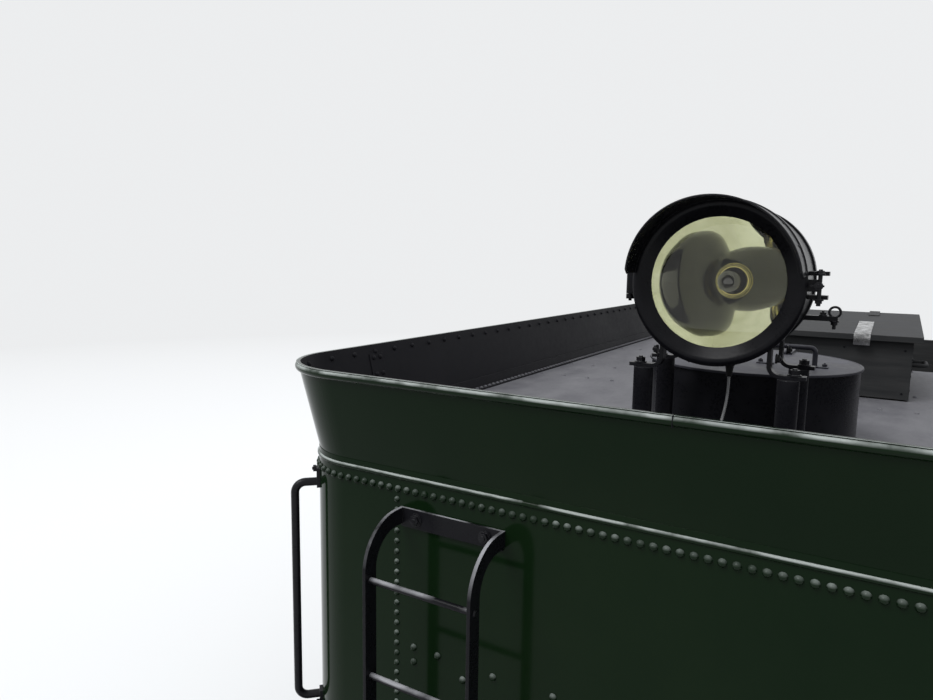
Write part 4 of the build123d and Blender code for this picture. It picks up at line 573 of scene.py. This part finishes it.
def makeRivets():
    look, out = rivetLook, tankLook["skin"]
    bandZ = deckZ - look["bandDrop"]

    def sized(share, other=None):
        return look["size"][0] * share, look["size"][1] * (other or share)

    band = alongTank(look["pitch"], out, bandZ) + alongTank(look["pitch"], out, frameTop + look["footUp"])
    scatterHeads("bandRivets", band, look["size"], "rivetGreen", sides=12)
    seams = []
    for row in range(1, int((bandZ - frameTop - 0.06) / look["seamPitch"])):
        z = bandZ - row * look["seamPitch"]
        for side in bothWays:
            seams.append(((rearX - out, side * look["rearSeam"], z), rearward))
            places = [rearX + seam + way * look["seamHalf"] for seam in look["seams"] for way in bothWays]
            for x in places + [frontX - look["seamHalf"]]:
                seams.append(((x, side * (halfWidth + out), z), (0, side, 0)))
    scatterHeads("seamRivets", seams, sized(look["seamSize"]), "rivetGreen")
    stays = [(off(at(0, left, up), -out), rearward) for left, up in look["stays"]]
    for back in range(*look["stayRun"]):
        if min(abs(back / 1000 - seam) for seam in look["seams"]) >= look["seamClear"]:
            stays += [(at(back, side * (halfWidth + out) * 1000, up), (0, side, 0)) for up in look["sideStays"]
                for side in bothWays]
    scatterHeads("stayRivets", stays, look["size"], "rivetGreen")
    slope = copingFlare / (copingTop - deckZ)
    plate, drop = tankLook["plate"], look["copingDrop"]
    row = alongTank(look["copingPitch"], copingFlare - plate - 0.0005 - drop * slope, copingTop - drop,
        look["copingStart"])
    inner = [(place, Vector((0, 0, slope)) - normal) for place, normal in row]
    for step in range(4):
        up = 0.03 + step * look["strapPitch"]
        reach = halfWidth + slope * up - plate - look["strapThick"]
        inner += [((rearX + back, side * reach, deckZ + up), (0, -side, slope))
            for back in look["straps"] for side in bothWays]
    scatterHeads("copingRivets", inner, sized(*look["copingSize"]), "copingBlack")
    deck, underBox = [], look["deckRows"][1]
    for back in look["deckRows"]:
        lefts = [step * look["deckPitch"] for step in range(-9, 10)]
        deck += [at(back, left, 0) for left in lefts if back != underBox or abs(left) >= look["boxHalf"]]
    deck += [at(back, side * look["coalEdge"], 0) for back in range(*look["coalRun"]) for side in bothWays]
    deck += [place for place, normal in alongTank(look["anglePitch"], look["angleIn"],
        deckZ + tankLook["angleThick"])]
    scatterHeads("deckRivets", [(place, upward) for place in deck], look["deckSize"], "deckGrey", sides=8)
    legs = [((frontX, side * left, deckZ - look["legDrop"] - row * look["legPitch"]), forward)
        for row in range(26) for side in bothWays for left in look["legs"]]
    scatterHeads("legRivets", legs, sized(look["legSize"]), "rivetGreen", sides=8)


makeRivets()
print("rivets made")

# headlamp: polished reflector, dark bulb, domed glass, hood bead and screws
lampLook = dict(face=264, height=488, ring=0.195, hood=0.192, hoodReach=(0.067, 0.104), hoodLow=0.019,
    hoodTurn=84.3, hoodBead=0.0026, glassRadius=0.1545, glassDome=0.016, glassThick=0.0045, mirrorRadius=0.178,
    mirrorNeck=0.030, mirrorThick=0.0012, brass=(0.036, 0.0055), bulbRadius=0.027, bulbRidge=0.0009,
    bulbStem=0.0155, screw=(0.0048, 0.0036), hoodScrews=(-0.009, 0.191, (-82, -64, -46, -22, 22, 46, 64, 82)),
    ringScrews=(0.014, 0.1942, (-130, 130, 165, -165)))
lampFront = at(lampLook["face"], 0, lampLook["height"])


def onLamp(back, angle, radius):
    # a place on the lamp: metres behind the ring's face, degrees from the top towards the left
    return off(lampFront, back, sin(radians(angle)) * radius, cos(radians(angle)) * radius)


def makeLamp():
    look = lampLook
    low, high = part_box("lamp_reflector")
    neck, wide, thick = look["mirrorNeck"], look["mirrorRadius"], look["mirrorThick"]
    depth, half = high.x - low.x - 0.004, (high.y - low.y) / 2
    radii = [neck + (wide - neck) * step / 30 for step in range(31)]
    curve = [(radius, depth * (radius ** 2 - neck ** 2) / (wide ** 2 - neck ** 2)) for radius in radii]
    outer = [(radius + thick, along - thick) for radius, along in reversed(curve)]
    mirror = bmesh.new()
    spinProfile(mirror, curve + [(half, curve[-1][1]), (half, curve[-1][1] - thick)] + outer,
        (high.x - 0.003, lampFront.y, lampFront.z), rearward, steps=128, closed=True)
    addPiece("lampMirror", mirror, "reflectorSilver", smooth=40, stands=("lamp_reflector",))
    ring = bmesh.new()
    spinProfile(ring, circle(look["brass"][1], look["brass"][1], 12, out=look["brass"][0]),
        (high.x - 0.010, 0, lampFront.z), rearward, closed=True)
    addPiece("mirrorRing", ring, "brassRing")
    bulb = bmesh.new()
    bulbX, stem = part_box("lamp_bulb")[0].x, look["bulbStem"]
    dome = [(0.0, 0.0)]
    for step in range(1, 19):
        a = pi * 0.82 * step / 18
        size = look["bulbRadius"] + (look["bulbRidge"] if step in (4, 5, 8, 9) else 0.0)
        dome.append((size * sin(a), size * (1 - cos(a))))
    dome += [(stem, dome[-1][1] + 0.006), (stem, high.x - bulbX + 0.010), (0.0, high.x - bulbX + 0.010)]
    spinProfile(bulb, dome, (bulbX, 0, lampFront.z), forward, steps=48)
    addPiece("lampBulb", bulb, "bulbDark", smooth=50, stands=("lamp_bulb",))
    pane, wide, rise = bmesh.new(), look["glassRadius"], look["glassDome"]
    curveRadius = (wide ** 2 + rise ** 2) / (2 * rise)
    front = [(wide * step / 16, curveRadius - sqrt(curveRadius ** 2 - (wide * step / 16) ** 2))
        for step in range(17)]
    back = [(radius, along + look["glassThick"]) for radius, along in reversed(front)]
    spinProfile(pane, front + back, (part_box("lamp_glass")[0].x + 0.0002, 0, lampFront.z), forward, steps=96)
    addPiece("lampPane", pane, "lampGlass", body="lamp_door", smooth=40, stands=("lamp_glass",))
    bead, edge = bmesh.new(), []
    near, far = look["hoodReach"]
    for step in range(61):
        angle = look["hoodTurn"] * (step / 30 - 1)
        lift = look["hood"] * cos(radians(angle))
        share = max(0.0, (lift - look["hoodLow"]) / (look["hood"] - look["hoodLow"]))
        tucked = 0.012 if step in (0, 60) else 0
        edge.append(onLamp(tucked - near - (far - near) * share, angle, look["hood"] - 0.0015))
    addTube(bead, edge, look["hoodBead"], sides=8)
    addPiece("hoodBead", bead, body="lamp_door")
    screws = []
    for back, radius, angles in (look["hoodScrews"], look["ringScrews"]):
        screws += [(onLamp(back, angle, radius), onLamp(0, angle, 1) - lampFront) for angle in angles]
    scatterHeads("hoodScrews", screws, look["screw"], "blackPaint", body="lamp_door")


# the clasp beside the ring, the strap's eye, the post bolts and the lead; nuts are given as width and height
claspLook = dict(pin=0.0045, pinSpan=(-0.044, 0.034), nutsUp=(-0.030, 0.024), nut=(0.014, 0.006),
    eye=(0.0125, 0.003), eyeLeft=-0.236, eyeDown=0.086, tab=0.031, eyeNuts=((0.015, 0.007), (0.013, 0.006)),
    postBolts=((312, 303), (503, 503)), postLeft=167, topNut=(0.021, 0.011), sideNut=(0.016, 0.006),
    footNut=(0.011, 0.005), footRing=0.035, leadRadius=0.0036, leadRibs=(0.005, 0.0009),
    leadPath=((380, -24, 300), (380, -24, 186), (320, -8, 93), (320, -8, 0)), leadBend=0.06)


def makeClasp():
    look = claspLook
    bm, pin = bmesh.new(), look["pin"]
    swing = onLamp(0.016, -90, lampLook["ring"] + 0.022)
    low, high = look["pinSpan"]
    addRod(bm, off(swing, z=low), (0, 0, high - low), pin, sides=14)
    for up in look["nutsUp"]:
        addNut(bm, off(swing, z=up), upward if up > 0 else downward, look["nut"])
    addRod(bm, swing, (-0.030, 0, 0), pin, sides=14)
    addRod(bm, off(swing, -0.018), (-0.010, 0, 0), 2 * pin, sides=18)
    for way in bothWays:
        addBlock(bm, off(swing, -0.027, 0.004 * way - 0.007, -0.002),
            off(swing, -0.019, 0.010 * way + 0.007, 0.002), 0.0008)
    addPiece("lampClasp", bm)
    bm = bmesh.new()
    eye = Vector((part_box("lamp_casing")[1].x - look["tab"], look["eyeLeft"], lampFront.z - look["eyeDown"]))
    spinProfile(bm, circle(look["eye"][1], look["eye"][1], 10, out=look["eye"][0]), off(eye, z=0.016), forward,
        steps=32, closed=True)
    addRod(bm, off(eye, z=-0.026), (0, 0, 0.032), 0.0042, sides=12)
    addNut(bm, off(eye, z=-0.006), downward, look["eyeNuts"][0])
    addNut(bm, off(eye, 0, 0.026, 0.006), upward, look["eyeNuts"][1])
    addPiece("strapEye", bm)
    bm = bmesh.new()
    for back, post in look["postBolts"]:
        addNut(bm, at(back, 178, 282), upward, look["topNut"])
        addNut(bm, at(back, 137, 318), leftward, look["sideNut"])
        addNutRing(bm, at(post, look["postLeft"], 10), upward, look["footRing"], 4, look["footNut"])
    reflect(bm)
    addPiece("lampBolts", bm)
    bm = bmesh.new()
    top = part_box("lamp_lead")[1].z
    path = curvedLine([at(*place) for place in look["leadPath"]], look["leadBend"])
    path[0].z = top + 0.004
    addTube(bm, path, look["leadRadius"], ribs=look["leadRibs"])
    addPiece("lampLead", bm, "conduitGrey", smooth=60, stands=("lamp_lead",))
    bm = bmesh.new()
    spot = off(path[0], z=0.002)
    addRod(bm, spot, (0, 0, -0.018), 0.013, sides=6)
    addRod(bm, off(spot, z=-0.018), (0, 0, -0.034), 0.011, sides=18, endRadius=0.0066)
    addRod(bm, off(path[-1], z=0.001), (0, 0, 0.013), 0.012, sides=18, endRadius=0.008)
    addPiece("leadGland", bm, "rubber")


makeLamp()
makeClasp()
print("lamp made")

# bolts and small irons on the ladder, the grab irons, the filler and the toolbox; at is in mm
ladderLook = dict(middle=542, bar=-132, boltOut=102, barNut=(0.024, 0.010), rungBack=0.139, rungDrop=0.254,
    rungPitch=0.252, rungEnd=(0.0085, 0.006), footBack=0.160, footHalf=0.021, footOut=0.05, footThick=0.009,
    earThick=0.008, earHigh=0.06, footNut=(0.018, 0.008), earNut=(0.016, 0.006), grabNut=(0.017, 0.007),
    railNut=(0.012, 0.005))
fillerLook = dict(at=848, ring=0.313, ringNut=(0.014, 0.006), handleBack=788, handleSpan=(-178, -60),
    handleNut=(0.012, 0.005), hingeLeft=72, hingeHeads=(1048, 1084, 1120), grateReach=0.270, gratePitch=0.042,
    rim=((0.3000, 0.0000), (0.3006, 0.0030), (0.2994, 0.0066), (0.2950, 0.0072), (0.2925, 0.0058)))
boxLook = dict(head=0.0045, wall=0.4355, ends=(0.012, 0.798), rows=(0.045, 0.100, 0.155, 0.210),
    frontLefts=(-0.41, -0.2, 0.0, 0.2, 0.41), frontUps=(0.03, 0.2), plates=(0.120, 0.240), plateUp=0.1325,
    plateSize=(0.022, 0.028), hasp=-0.26, haspWide=0.058, lidRise=(0.0365, 0.844))


def makeIronBolts():
    look, bm = ladderLook, bmesh.new()
    corner = cornerRadius * (1 - 1 / sqrt(2))
    out = Vector((-1, 1, 0)).normalized()
    spot = Vector((rearX + corner, halfWidth - corner, 0)) + out * 0.010
    for z in (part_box("grab_irons")[1].z - 0.016, deckZ - 0.820):
        addNut(bm, (spot.x, spot.y, z), out, look["grabNut"], washer=False)
    for z in (deckZ - 0.080, frameTop + 0.120):
        for back in (0.050, 0.090):
            addNut(bm, (frontX - back, halfWidth + 0.010, z), leftward, look["railNut"], washer=False)
    reflect(bm)
    low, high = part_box("rear_ladder")
    half = look["footHalf"]
    for side in bothWays:
        addNut(bm, at(-8, look["middle"] + side * look["boltOut"], look["bar"]), rearward, look["barNut"])
        foot = Vector((rearX - look["footBack"], look["middle"] / 1000 + side * (high.y - low.y) / 2, frameTop))
        for rung in range(3):
            spot = (rearX - look["rungBack"], foot.y - side * 0.0005,
                deckZ - look["rungDrop"] - rung * look["rungPitch"])
            addRod(bm, spot, (0, side * 0.004, 0), look["rungEnd"][0], sides=16, endRadius=look["rungEnd"][1])
        for out, up in ((look["footOut"], look["footThick"]), (look["earThick"], look["earHigh"])):
            addBlock(bm, off(foot, -half), off(foot, half, side * out, up), soften=0.0015)
        addNut(bm, off(foot, 0, side * 0.030, look["footThick"]), upward, look["footNut"])
        addNut(bm, off(foot, 0, side * look["earThick"], 0.038), (0, side, 0), look["earNut"], washer=False)
    addPiece("ironBolts", bm)


def makeFillerIrons():
    look, bm = fillerLook, bmesh.new()
    addNutRing(bm, at(look["at"], 0, 8), upward, look["ring"], 20, look["ringNut"])
    addPiece("fillerBolts", bm)
    bm = bmesh.new()
    for left, out in zip(look["handleSpan"], (-1, 1)):
        foot = at(look["handleBack"], left, 241.3)
        addBlock(bm, off(foot, -0.014, -0.012), off(foot, 0.014, 0.012, 0.004), soften=0.001)
        addBlock(bm, off(foot, -0.014), off(foot, 0.014, out * 0.036, 0.0035), soften=0.001)
        addNut(bm, off(foot, 0, out * 0.026, 0.0035), upward, look["handleNut"], washer=False)
    for side in bothWays:
        for back in look["hingeHeads"]:
            addRod(bm, at(back, side * look["hingeLeft"], 249), (0, 0, 0.0035), 0.0065, sides=12,
                endRadius=0.0045)
    spinProfile(bm, look["rim"], at(look["at"], 0, 234.9), upward, steps=96)
    addPiece("fillerTrim", bm, "lidBlack", body="filler_lid")
    bm, grate = bmesh.new(), at(look["at"], 0, -7)
    for step in range(-6, 7):
        shift = step * look["gratePitch"]
        reach = sqrt(look["grateReach"] ** 2 - shift ** 2)
        addRod(bm, off(grate, shift, -reach, 0.006), (0, 2 * reach, 0), 0.005, sides=8)
        addRod(bm, off(grate, -reach, shift, 0.012), (2 * reach, 0, 0), 0.004, sides=8)
    addPiece("fillerGrate", bm, "frameBlack")


def makeBoxIrons():
    look, bm = boxLook, bmesh.new()
    boxX, lidX, head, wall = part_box("toolbox")[0].x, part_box("toolbox_lid")[0].x, look["head"], look["wall"]
    for back in look["ends"]:
        for up in look["rows"]:
            addRod(bm, (boxX + back, wall, deckZ + up), (0, 0.0017, 0), head, sides=10)
    wide, high = look["plateSize"]
    for back in look["plates"]:
        spot = Vector((boxX + back, wall, deckZ + look["plateUp"]))
        addBlock(bm, off(spot, -wide, 0, -high), off(spot, wide, 0.004, high), soften=0.001)
        for up in (0.020, -0.020):
            addRod(bm, off(spot, 0, 0.003, up), (0, 0.0035, 0), head, sides=10)
    reflect(bm)
    for left in look["frontLefts"]:
        for up in look["frontUps"]:
            addRod(bm, (boxX + 0.0005, left, deckZ + up), (-0.0021, 0, 0), head, sides=10)
    addPiece("boxIrons", bm)
    bm, half = bmesh.new(), look["haspWide"] / 2
    low, high = look["hasp"] - half, look["hasp"] + half
    tilt = Matrix.Rotation(-atan2(*look["lidRise"]), 4, "Y")
    addBlock(bm, (0.004, low, 0.0004), (0.424, high, 0.0032), soften=0.0008)
    bmesh.ops.transform(bm, matrix=Matrix.Translation((lidX, 0, deckZ + 0.258)) @ tilt, verts=bm.verts)
    addBlock(bm, (lidX - 0.003, low, deckZ + 0.215), (lidX, high, deckZ + 0.260), soften=0.0008)
    addPiece("boxHasp", bm, "brightSteel", body="toolbox_lid")


makeIronBolts()
makeFillerIrons()
makeBoxIrons()
print("fittings made")

# bolts, nuts and rods on the bogies; nuts are given as width and height
bogieLook = dict(halfBase=0.7, barSide=0.69, boxReach=0.115, archUp=0.050, rod=0.011, rodNut=(0.034, 0.016),
    column=0.158, columnNut=(0.028, 0.014), lidNut=(0.020, 0.008), hinge=(0.0135, 0.012),
    bolsterHead=(0.012, 0.008), beamIn=0.400, shoeSide=0.5065, shoe=(0.060, 0.060, 0.150), pinSide=0.631,
    pinNut=(0.030, 0.012), truss=0.012, trussReach=0.085, strut=(0.10, 0.036, 0.060), lever=0.060,
    leverIn=0.100, pullDown=0.080)


def makeBogies():
    look = bogieLook
    half, y, lever, truss = look["halfBase"], look["barSide"], look["lever"], look["truss"]
    for bogie in ("rear", "front"):
        body = bogie + "_bogie"
        frameLow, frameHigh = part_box(body + "_side_frames")
        boxLow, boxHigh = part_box(body + "_journal_boxes")
        bolsterLow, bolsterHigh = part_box(body + "_bolster")
        middle, axleZ, hinge = (bolsterLow.x + bolsterHigh.x) / 2, (boxLow.z + boxHigh.z) / 2, boxHigh.z - 0.036
        lidY, archTop, reach = boxHigh.y, boxHigh.z + look["archUp"], half - look["beamIn"]
        bm = bmesh.new()

        def clamp(x, y, top, size):
            addNut(bm, (x, y, top), upward, size)
            addNut(bm, (x, y, frameLow.z), downward, size)

        for way in bothWays:
            boxX, beam = middle + way * half, Vector((middle + way * reach, 0, axleZ))
            for x in (boxX - look["boxReach"], boxX + look["boxReach"]):
                addRod(bm, (x, y, frameLow.z - 0.002), (0, 0, archTop - frameLow.z + 0.004), look["rod"],
                    sides=12)
                clamp(x, y, archTop, look["rodNut"])
            for shift in (-0.024, 0.024):
                clamp(middle + way * look["column"], y + shift, frameHigh.z, look["columnNut"])
            for shift in (-0.03, 0.03):
                addRod(bm, (middle + way * 0.196, y + shift, frameHigh.z - 0.038), (way * 0.009, 0, 0), 0.010,
                    sides=10)
            addNut(bm, (boxX, lidY - 0.001, axleZ - 0.009), leftward, look["lidNut"])
            for shift in (-0.062, 0.062):
                addRod(bm, (boxX + shift, lidY - 0.012, axleZ - 0.078), (0, 0.010, 0), 0.009, sides=12)
            radius, length = look["hinge"]
            for shift in (-0.052, 0.052):
                addRod(bm, (boxX + shift - length / 2, lidY - 0.012, hinge), (length, 0, 0), radius, sides=14)
            addBlock(bm, (boxX - 0.03, lidY - 0.006, axleZ + 0.030), (boxX + 0.03, lidY + 0.002, hinge))
            shoe = off(beam, 0, look["shoeSide"])
            addBox(bm, shoe, look["shoe"], soften=0.006)
            addRod(bm, off(shoe, -0.046 * way, -0.034, 0.045), (0, 0.068, 0), 0.008, sides=10)
            addNut(bm, off(beam, 0, look["pinSide"] + 0.007), leftward, look["pinNut"])
            addRod(bm, off(beam, 0, 0.40), (-way * look["trussReach"], -0.40, 0), truss, sides=12)
        for back in (-0.075, 0.0, 0.075):
            for up in (0.075, 0.155):
                addRod(bm, (middle + back, y + 0.064, bolsterLow.z + up), (0, 0.008, 0), look["bolsterHead"][0],
                    sides=12, endRadius=look["bolsterHead"][1])
        reflect(bm)
        pull = axleZ - look["pullDown"]
        for way in bothWays:
            addBox(bm, (middle + way * (reach - look["strut"][0] / 2), 0, axleZ), look["strut"], soften=0.004)
            x = middle + way * (reach - look["leverIn"])
            addBlock(bm, (x - 0.022, lever - 0.008, axleZ - 0.100), (x + 0.022, lever + 0.008, axleZ + 0.020),
                soften=0.003)
            addRod(bm, (x, lever - 0.012, pull), (0, 0.024, 0), 0.016, sides=16)
            addRod(bm, (x, 0.0, axleZ), (0, lever + 0.012, 0), 0.014, sides=14)
        reach -= look["leverIn"]
        addRod(bm, (middle - reach, lever, pull), (2 * reach, 0, 0), truss, sides=12)
        addPiece(bogie + "BogieBolts", bm, "bogieBlack", body=body)


makeBogies()
print("bogies dressed")

# rivets, clips and bolts on the underframe
frameLook = dict(web=0.025, sillPitch=0.080, sillEnds=(0.26, 0.24), sillHead=(0.011, 0.008), edge=0.035,
    rows=(0.085, 0.125, 0.165), splices=(0.38, 0.5, 0.62), clips=(0.30, 1.15, 2.0, 2.85, 3.70, 4.40),
    clipHalf=0.045, clipNut=(0.026, 0.012), beamBolts=(0.30, 0.62, 0.95), beamNut=(0.032, 0.014),
    strap=(1.0795, 1.0865), strapNut=(0.024, 0.010), pocketNut=(0.022, 0.009), boardNut=(0.020, 0.008),
    pipe=(0.8, 0.110), pipeNut=(0.012, 0.006), cylinder=(-0.52, 0.130), cylinderRing=0.098,
    cylinderNut=(0.018, 0.008), reservoir=(0.860, 0.150), brakeNuts=((0.013, 0.007), (0.024, 0.012)))


def makeSills():
    look, spots = frameLook, []
    first, last = beamRear + look["sillEnds"][0], beamFront - look["sillEnds"][1]
    for step in range(int((last - first) / look["sillPitch"]) + 1):
        x = first + step * look["sillPitch"]
        spots += [(x, frameTop - look["edge"])] + ([(x, frameBottom + look["edge"])] if step % 2 == 0 else [])
    places = [rearX + share * (frontX - rearX) for share in look["splices"]]
    for bogie in ("rear", "front"):
        low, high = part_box(bogie + "_bogie_bolster")
        places += [(low.x + high.x) / 2 + shift for shift in (-0.10, 0.10)]
    spots += [(x, frameBottom + up) for x in places for up in look["rows"]]
    rivets = [((x, side * (halfWidth - look["web"]), z), (0, side, 0)) for x, z in spots for side in bothWays]
    scatterHeads("sillRivets", rivets, look["sillHead"], "frameBlack")


def makeFrame():
    look, bm = frameLook, bmesh.new()
    wide, wall, out = look["clipHalf"], halfWidth + 0.001, halfWidth + 0.011
    for x in [rearX + back for back in look["clips"]]:
        addBlock(bm, (x - wide, halfWidth - look["web"], frameTop - 0.110), (x + wide, wall, frameTop - 0.002),
            soften=0.003)
        addBlock(bm, (x - wide, wall, frameTop - 0.110), (x + wide, out, frameTop + 0.018), soften=0.003)
        for drop in (0.080, 0.030):
            addNut(bm, (x, out, frameTop - drop), leftward, look["clipNut"])
    inner, outer = look["strap"]
    for face, way in ((beamRear, -1), (beamFront, 1)):
        for left in look["beamBolts"]:
            for up in (0.06, 0.17):
                addNut(bm, (face, left, frameBottom + up), (way, 0, 0), look["beamNut"])
                addRod(bm, (face - way * 0.001, left, frameBottom + up), (way * 0.005, 0, 0), 0.034, sides=28)
        addBlock(bm, (face - way * 0.20, inner, frameBottom + 0.020),
            (face - way * 0.02, outer, frameTop - 0.020))
        for back in (0.06, 0.16):
            addNut(bm, (face - way * back, outer, (frameBottom + frameTop) / 2), leftward, look["strapNut"])
    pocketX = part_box("coupler_pocket")[0].x
    for back in (0.05, 0.30):
        for drop in (0.060, 0.110, 0.160):
            addNut(bm, (pocketX + back, 0.095, frameBottom - drop), leftward, look["pocketNut"], washer=False)
    for drop in (0.65, 0.48, 0.25):
        addNut(bm, (frontX - 0.080, 0.66, deckZ - drop), forward, look["boardNut"])
    addBlock(bm, (frontX - 0.079, 0.665, deckZ - 0.52), (frontX - 0.071, 0.699, deckZ - 0.012))
    left, drop = look["pipe"]
    addNutRing(bm, (beamFront + 0.008, left, frameBottom - drop), rearward, 0.0395, 6, look["pipeNut"], start=0)
    reflect(bm)
    left, drop = look["cylinder"]
    low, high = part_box("brake_cylinder")
    for end, axis in ((low.x, rearward), (high.x, forward)):
        addNutRing(bm, (end, left, frameBottom - drop), axis, look["cylinderRing"], 8, look["cylinderNut"])
    addRod(bm, (high.x, left, frameBottom - drop), (0.020, 0, 0), 0.030)
    left, drop = look["reservoir"]
    low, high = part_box("air_reservoir")
    under = Vector(((low.x + high.x) / 2, left, frameBottom - drop))
    addRod(bm, off(under, z=-0.118), (0, 0, -0.024), 0.014, sides=6)
    addRod(bm, off(under, z=-0.142), (0, 0, -0.014), 0.007, sides=12)
    for end, way in ((low.x, -1), (high.x, 1)):
        addRod(bm, (end - way * 0.002, left, under.z), (way * 0.018, 0, 0), 0.020, sides=6)
        addNut(bm, off(under, way * (high.x - low.x) / 4, 0, -0.126), downward, look["cylinderNut"])
    low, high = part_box("hand_brake")
    column = (low + high) / 2
    footNut, topNut = look["brakeNuts"]
    addNutRing(bm, (column.x, column.y, frameTop + 0.020), upward, 0.044, 4, footNut)
    addNut(bm, (column.x, column.y, high.z - 0.001), upward, topNut)
    addPiece("frameBolts", bm, "frameBlack")


makeSills()
makeFrame()
print("underframe dressed")

# finishes of the nodes that keep their mesh
nodeLooks = {
    "tankGreen": "tank_body", "deckGrey": "tank_deck", "copingBlack": "coping_splices", "lidBlack": "filler_lid",
    "woodPaint": "toolbox toolbox_lid coal_boards", "lampBlack": "lamp_casing lamp_door", "railBlack": "rear_ladder",
    "blackPaint": "filler_neck lamp_posts lamp_brackets grab_irons steps coupling_lever hand_brake feed_pipes",
    "castIron": "coupler_body coupler_knuckle drawbar", "beamWood": "end_beams",
    "frameBlack": "coupler_pocket drawbar_pocket air_reservoir brake_cylinder body_bolsters frame_sills cross_bearers",
    "bogieBlack": " ".join(f"{bogie}_bogie_{part}" for bogie in ("rear", "front") for part in
                           ("side_frames", "journal_boxes", "bolster", "spring_plank", "springs", "brake_gear")),
}
# the coal space's half width and its distance from the rear wall
coalHalf, coalStart = 0.701, 2.749


def dressNodes():
    looks = {node: finish for finish, nodes in nodeLooks.items() for node in nodes.split()}
    for node in [f"{bogie}_bogie_{end}_wheelset" for bogie in ("rear", "front") for end in ("inner", "outer")]:
        low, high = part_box(node)
        looks[node] = wheelPaint(node + "Paint", (low + high) / 2)
    for node, finish in looks.items():
        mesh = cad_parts[node].data
        mesh.materials.clear()
        mesh.materials.append(finishes[finish])
    # the coal space is bare steel
    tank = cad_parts["tank_body"]
    tank.data.materials.append(finishes["coalSteel"])
    for face in tank.data.polygons:
        middle = tank.matrix_world @ face.center
        if abs(middle.y) < coalHalf and rearX + coalStart < middle.x < frontX - 0.001:
            face.material_index = 1


dressNodes()
print("nodes dressed")

# floor, light and camera
studioLook = dict(floorSize=120, floor=(0.80, 0.80, 0.795), floorDark=0.45, floorRoughness=0.9, floorSpec=0.1,
    back=(0.84, 0.85, 0.86), sky=(0.93, 0.96, 1.0), skyRise=(0.03, 0.32), skyPower=(0.06, 0.95), sun=1.6,
    sunAngle=0.5, sunFrom=(-0.55, 0.35, 0.9), fade=(6.0, 20.0))
cameraLook = dict(place=(-1415.1, -357.2, 539.4), lens=27.0, sensor=36, turn=-58.65, down=7.59, roll=0.84)


def backgroundRays(tree):
    # 1 for the rays that show the pale background: straight ones, mirrored ones and those through glass
    path = addNode(tree, "LightPath").outputs
    straight = maths(tree, "MAXIMUM", path["Is Camera Ray"], path["Is Glossy Ray"])
    return maths(tree, "MAXIMUM", straight, path["Is Transmission Ray"])


def makeFloor():
    look = studioLook
    bm = bmesh.new()
    bmesh.ops.create_grid(bm, x_segments=1, y_segments=1, size=look["floorSize"])
    mesh = bpy.data.meshes.new("floor")
    bm.to_mesh(mesh)
    bm.free()
    floor = addToScene("floor", mesh)
    tree, shader = newMaterial("floorPaint")
    seen = backgroundRays(tree)
    level = spread(tree, seen, 0.0, 1.0, look["floorDark"], 1.0)
    setInputs(tree, shader, {"Base Color": mixColours(tree, level, 0.0, look["floor"]),
        "Roughness": look["floorRoughness"], "Specular IOR Level": look["floorSpec"]})
    reach = vectorMaths(tree, "LENGTH", objectPlace(tree))["Value"]
    fade = times(tree, spread(tree, reach, *look["fade"]), seen)
    glow = addNode(tree, "Emission", {"Color": tone(look["back"]), "Strength": 1.0})
    joined = addNode(tree, "MixShader", {0: fade, 1: shader.outputs[0], 2: glow.outputs[0]})
    setInputs(tree, tree.nodes["Material Output"], {"Surface": joined.outputs[0]})
    mesh.materials.append(finishes["floorPaint"])


def makeLight():
    look = studioLook
    world = bpy.data.worlds.new("studio")
    world.use_nodes = True
    bpy.context.scene.world = world
    tree = world.node_tree
    height = addNode(tree, "SeparateXYZ", {0: addNode(tree, "TexCoord").outputs["Generated"]}).outputs["Z"]
    power = spread(tree, height, *look["skyRise"], *look["skyPower"])
    seen = backgroundRays(tree)
    strength = addNode(tree, "Mix", {0: seen, 2: power, 3: 1.0}, data_type="FLOAT").outputs[0]
    setInputs(tree, tree.nodes["Background"], {"Color": mixColours(tree, seen, look["sky"], look["back"]),
        "Strength": strength})
    data = bpy.data.lights.new("sun", "SUN")
    data.energy, data.angle = look["sun"], look["sunAngle"]
    light = addToScene("sun", data)
    light.rotation_mode = "QUATERNION"
    light.rotation_quaternion = Vector(look["sunFrom"]).to_track_quat("Z", "Y")


def makeCamera():
    look = cameraLook
    data = bpy.data.cameras.new("camera")
    data.lens, data.sensor_width = look["lens"], look["sensor"]
    camera = addToScene("camera", data)
    camera.location = at(*look["place"])
    turns = ((look["turn"], "Z"), (90 - look["down"], "X"), (look["roll"], "Z"))
    first, second, third = (Matrix.Rotation(radians(angle), 4, axis) for angle, axis in turns)
    camera.rotation_euler = (first @ second @ third).to_euler()
    bpy.context.scene.camera = camera


makeFloor()
makeLight()
makeCamera()
bpy.context.scene.view_settings.view_transform = "Standard"
print("studio made")
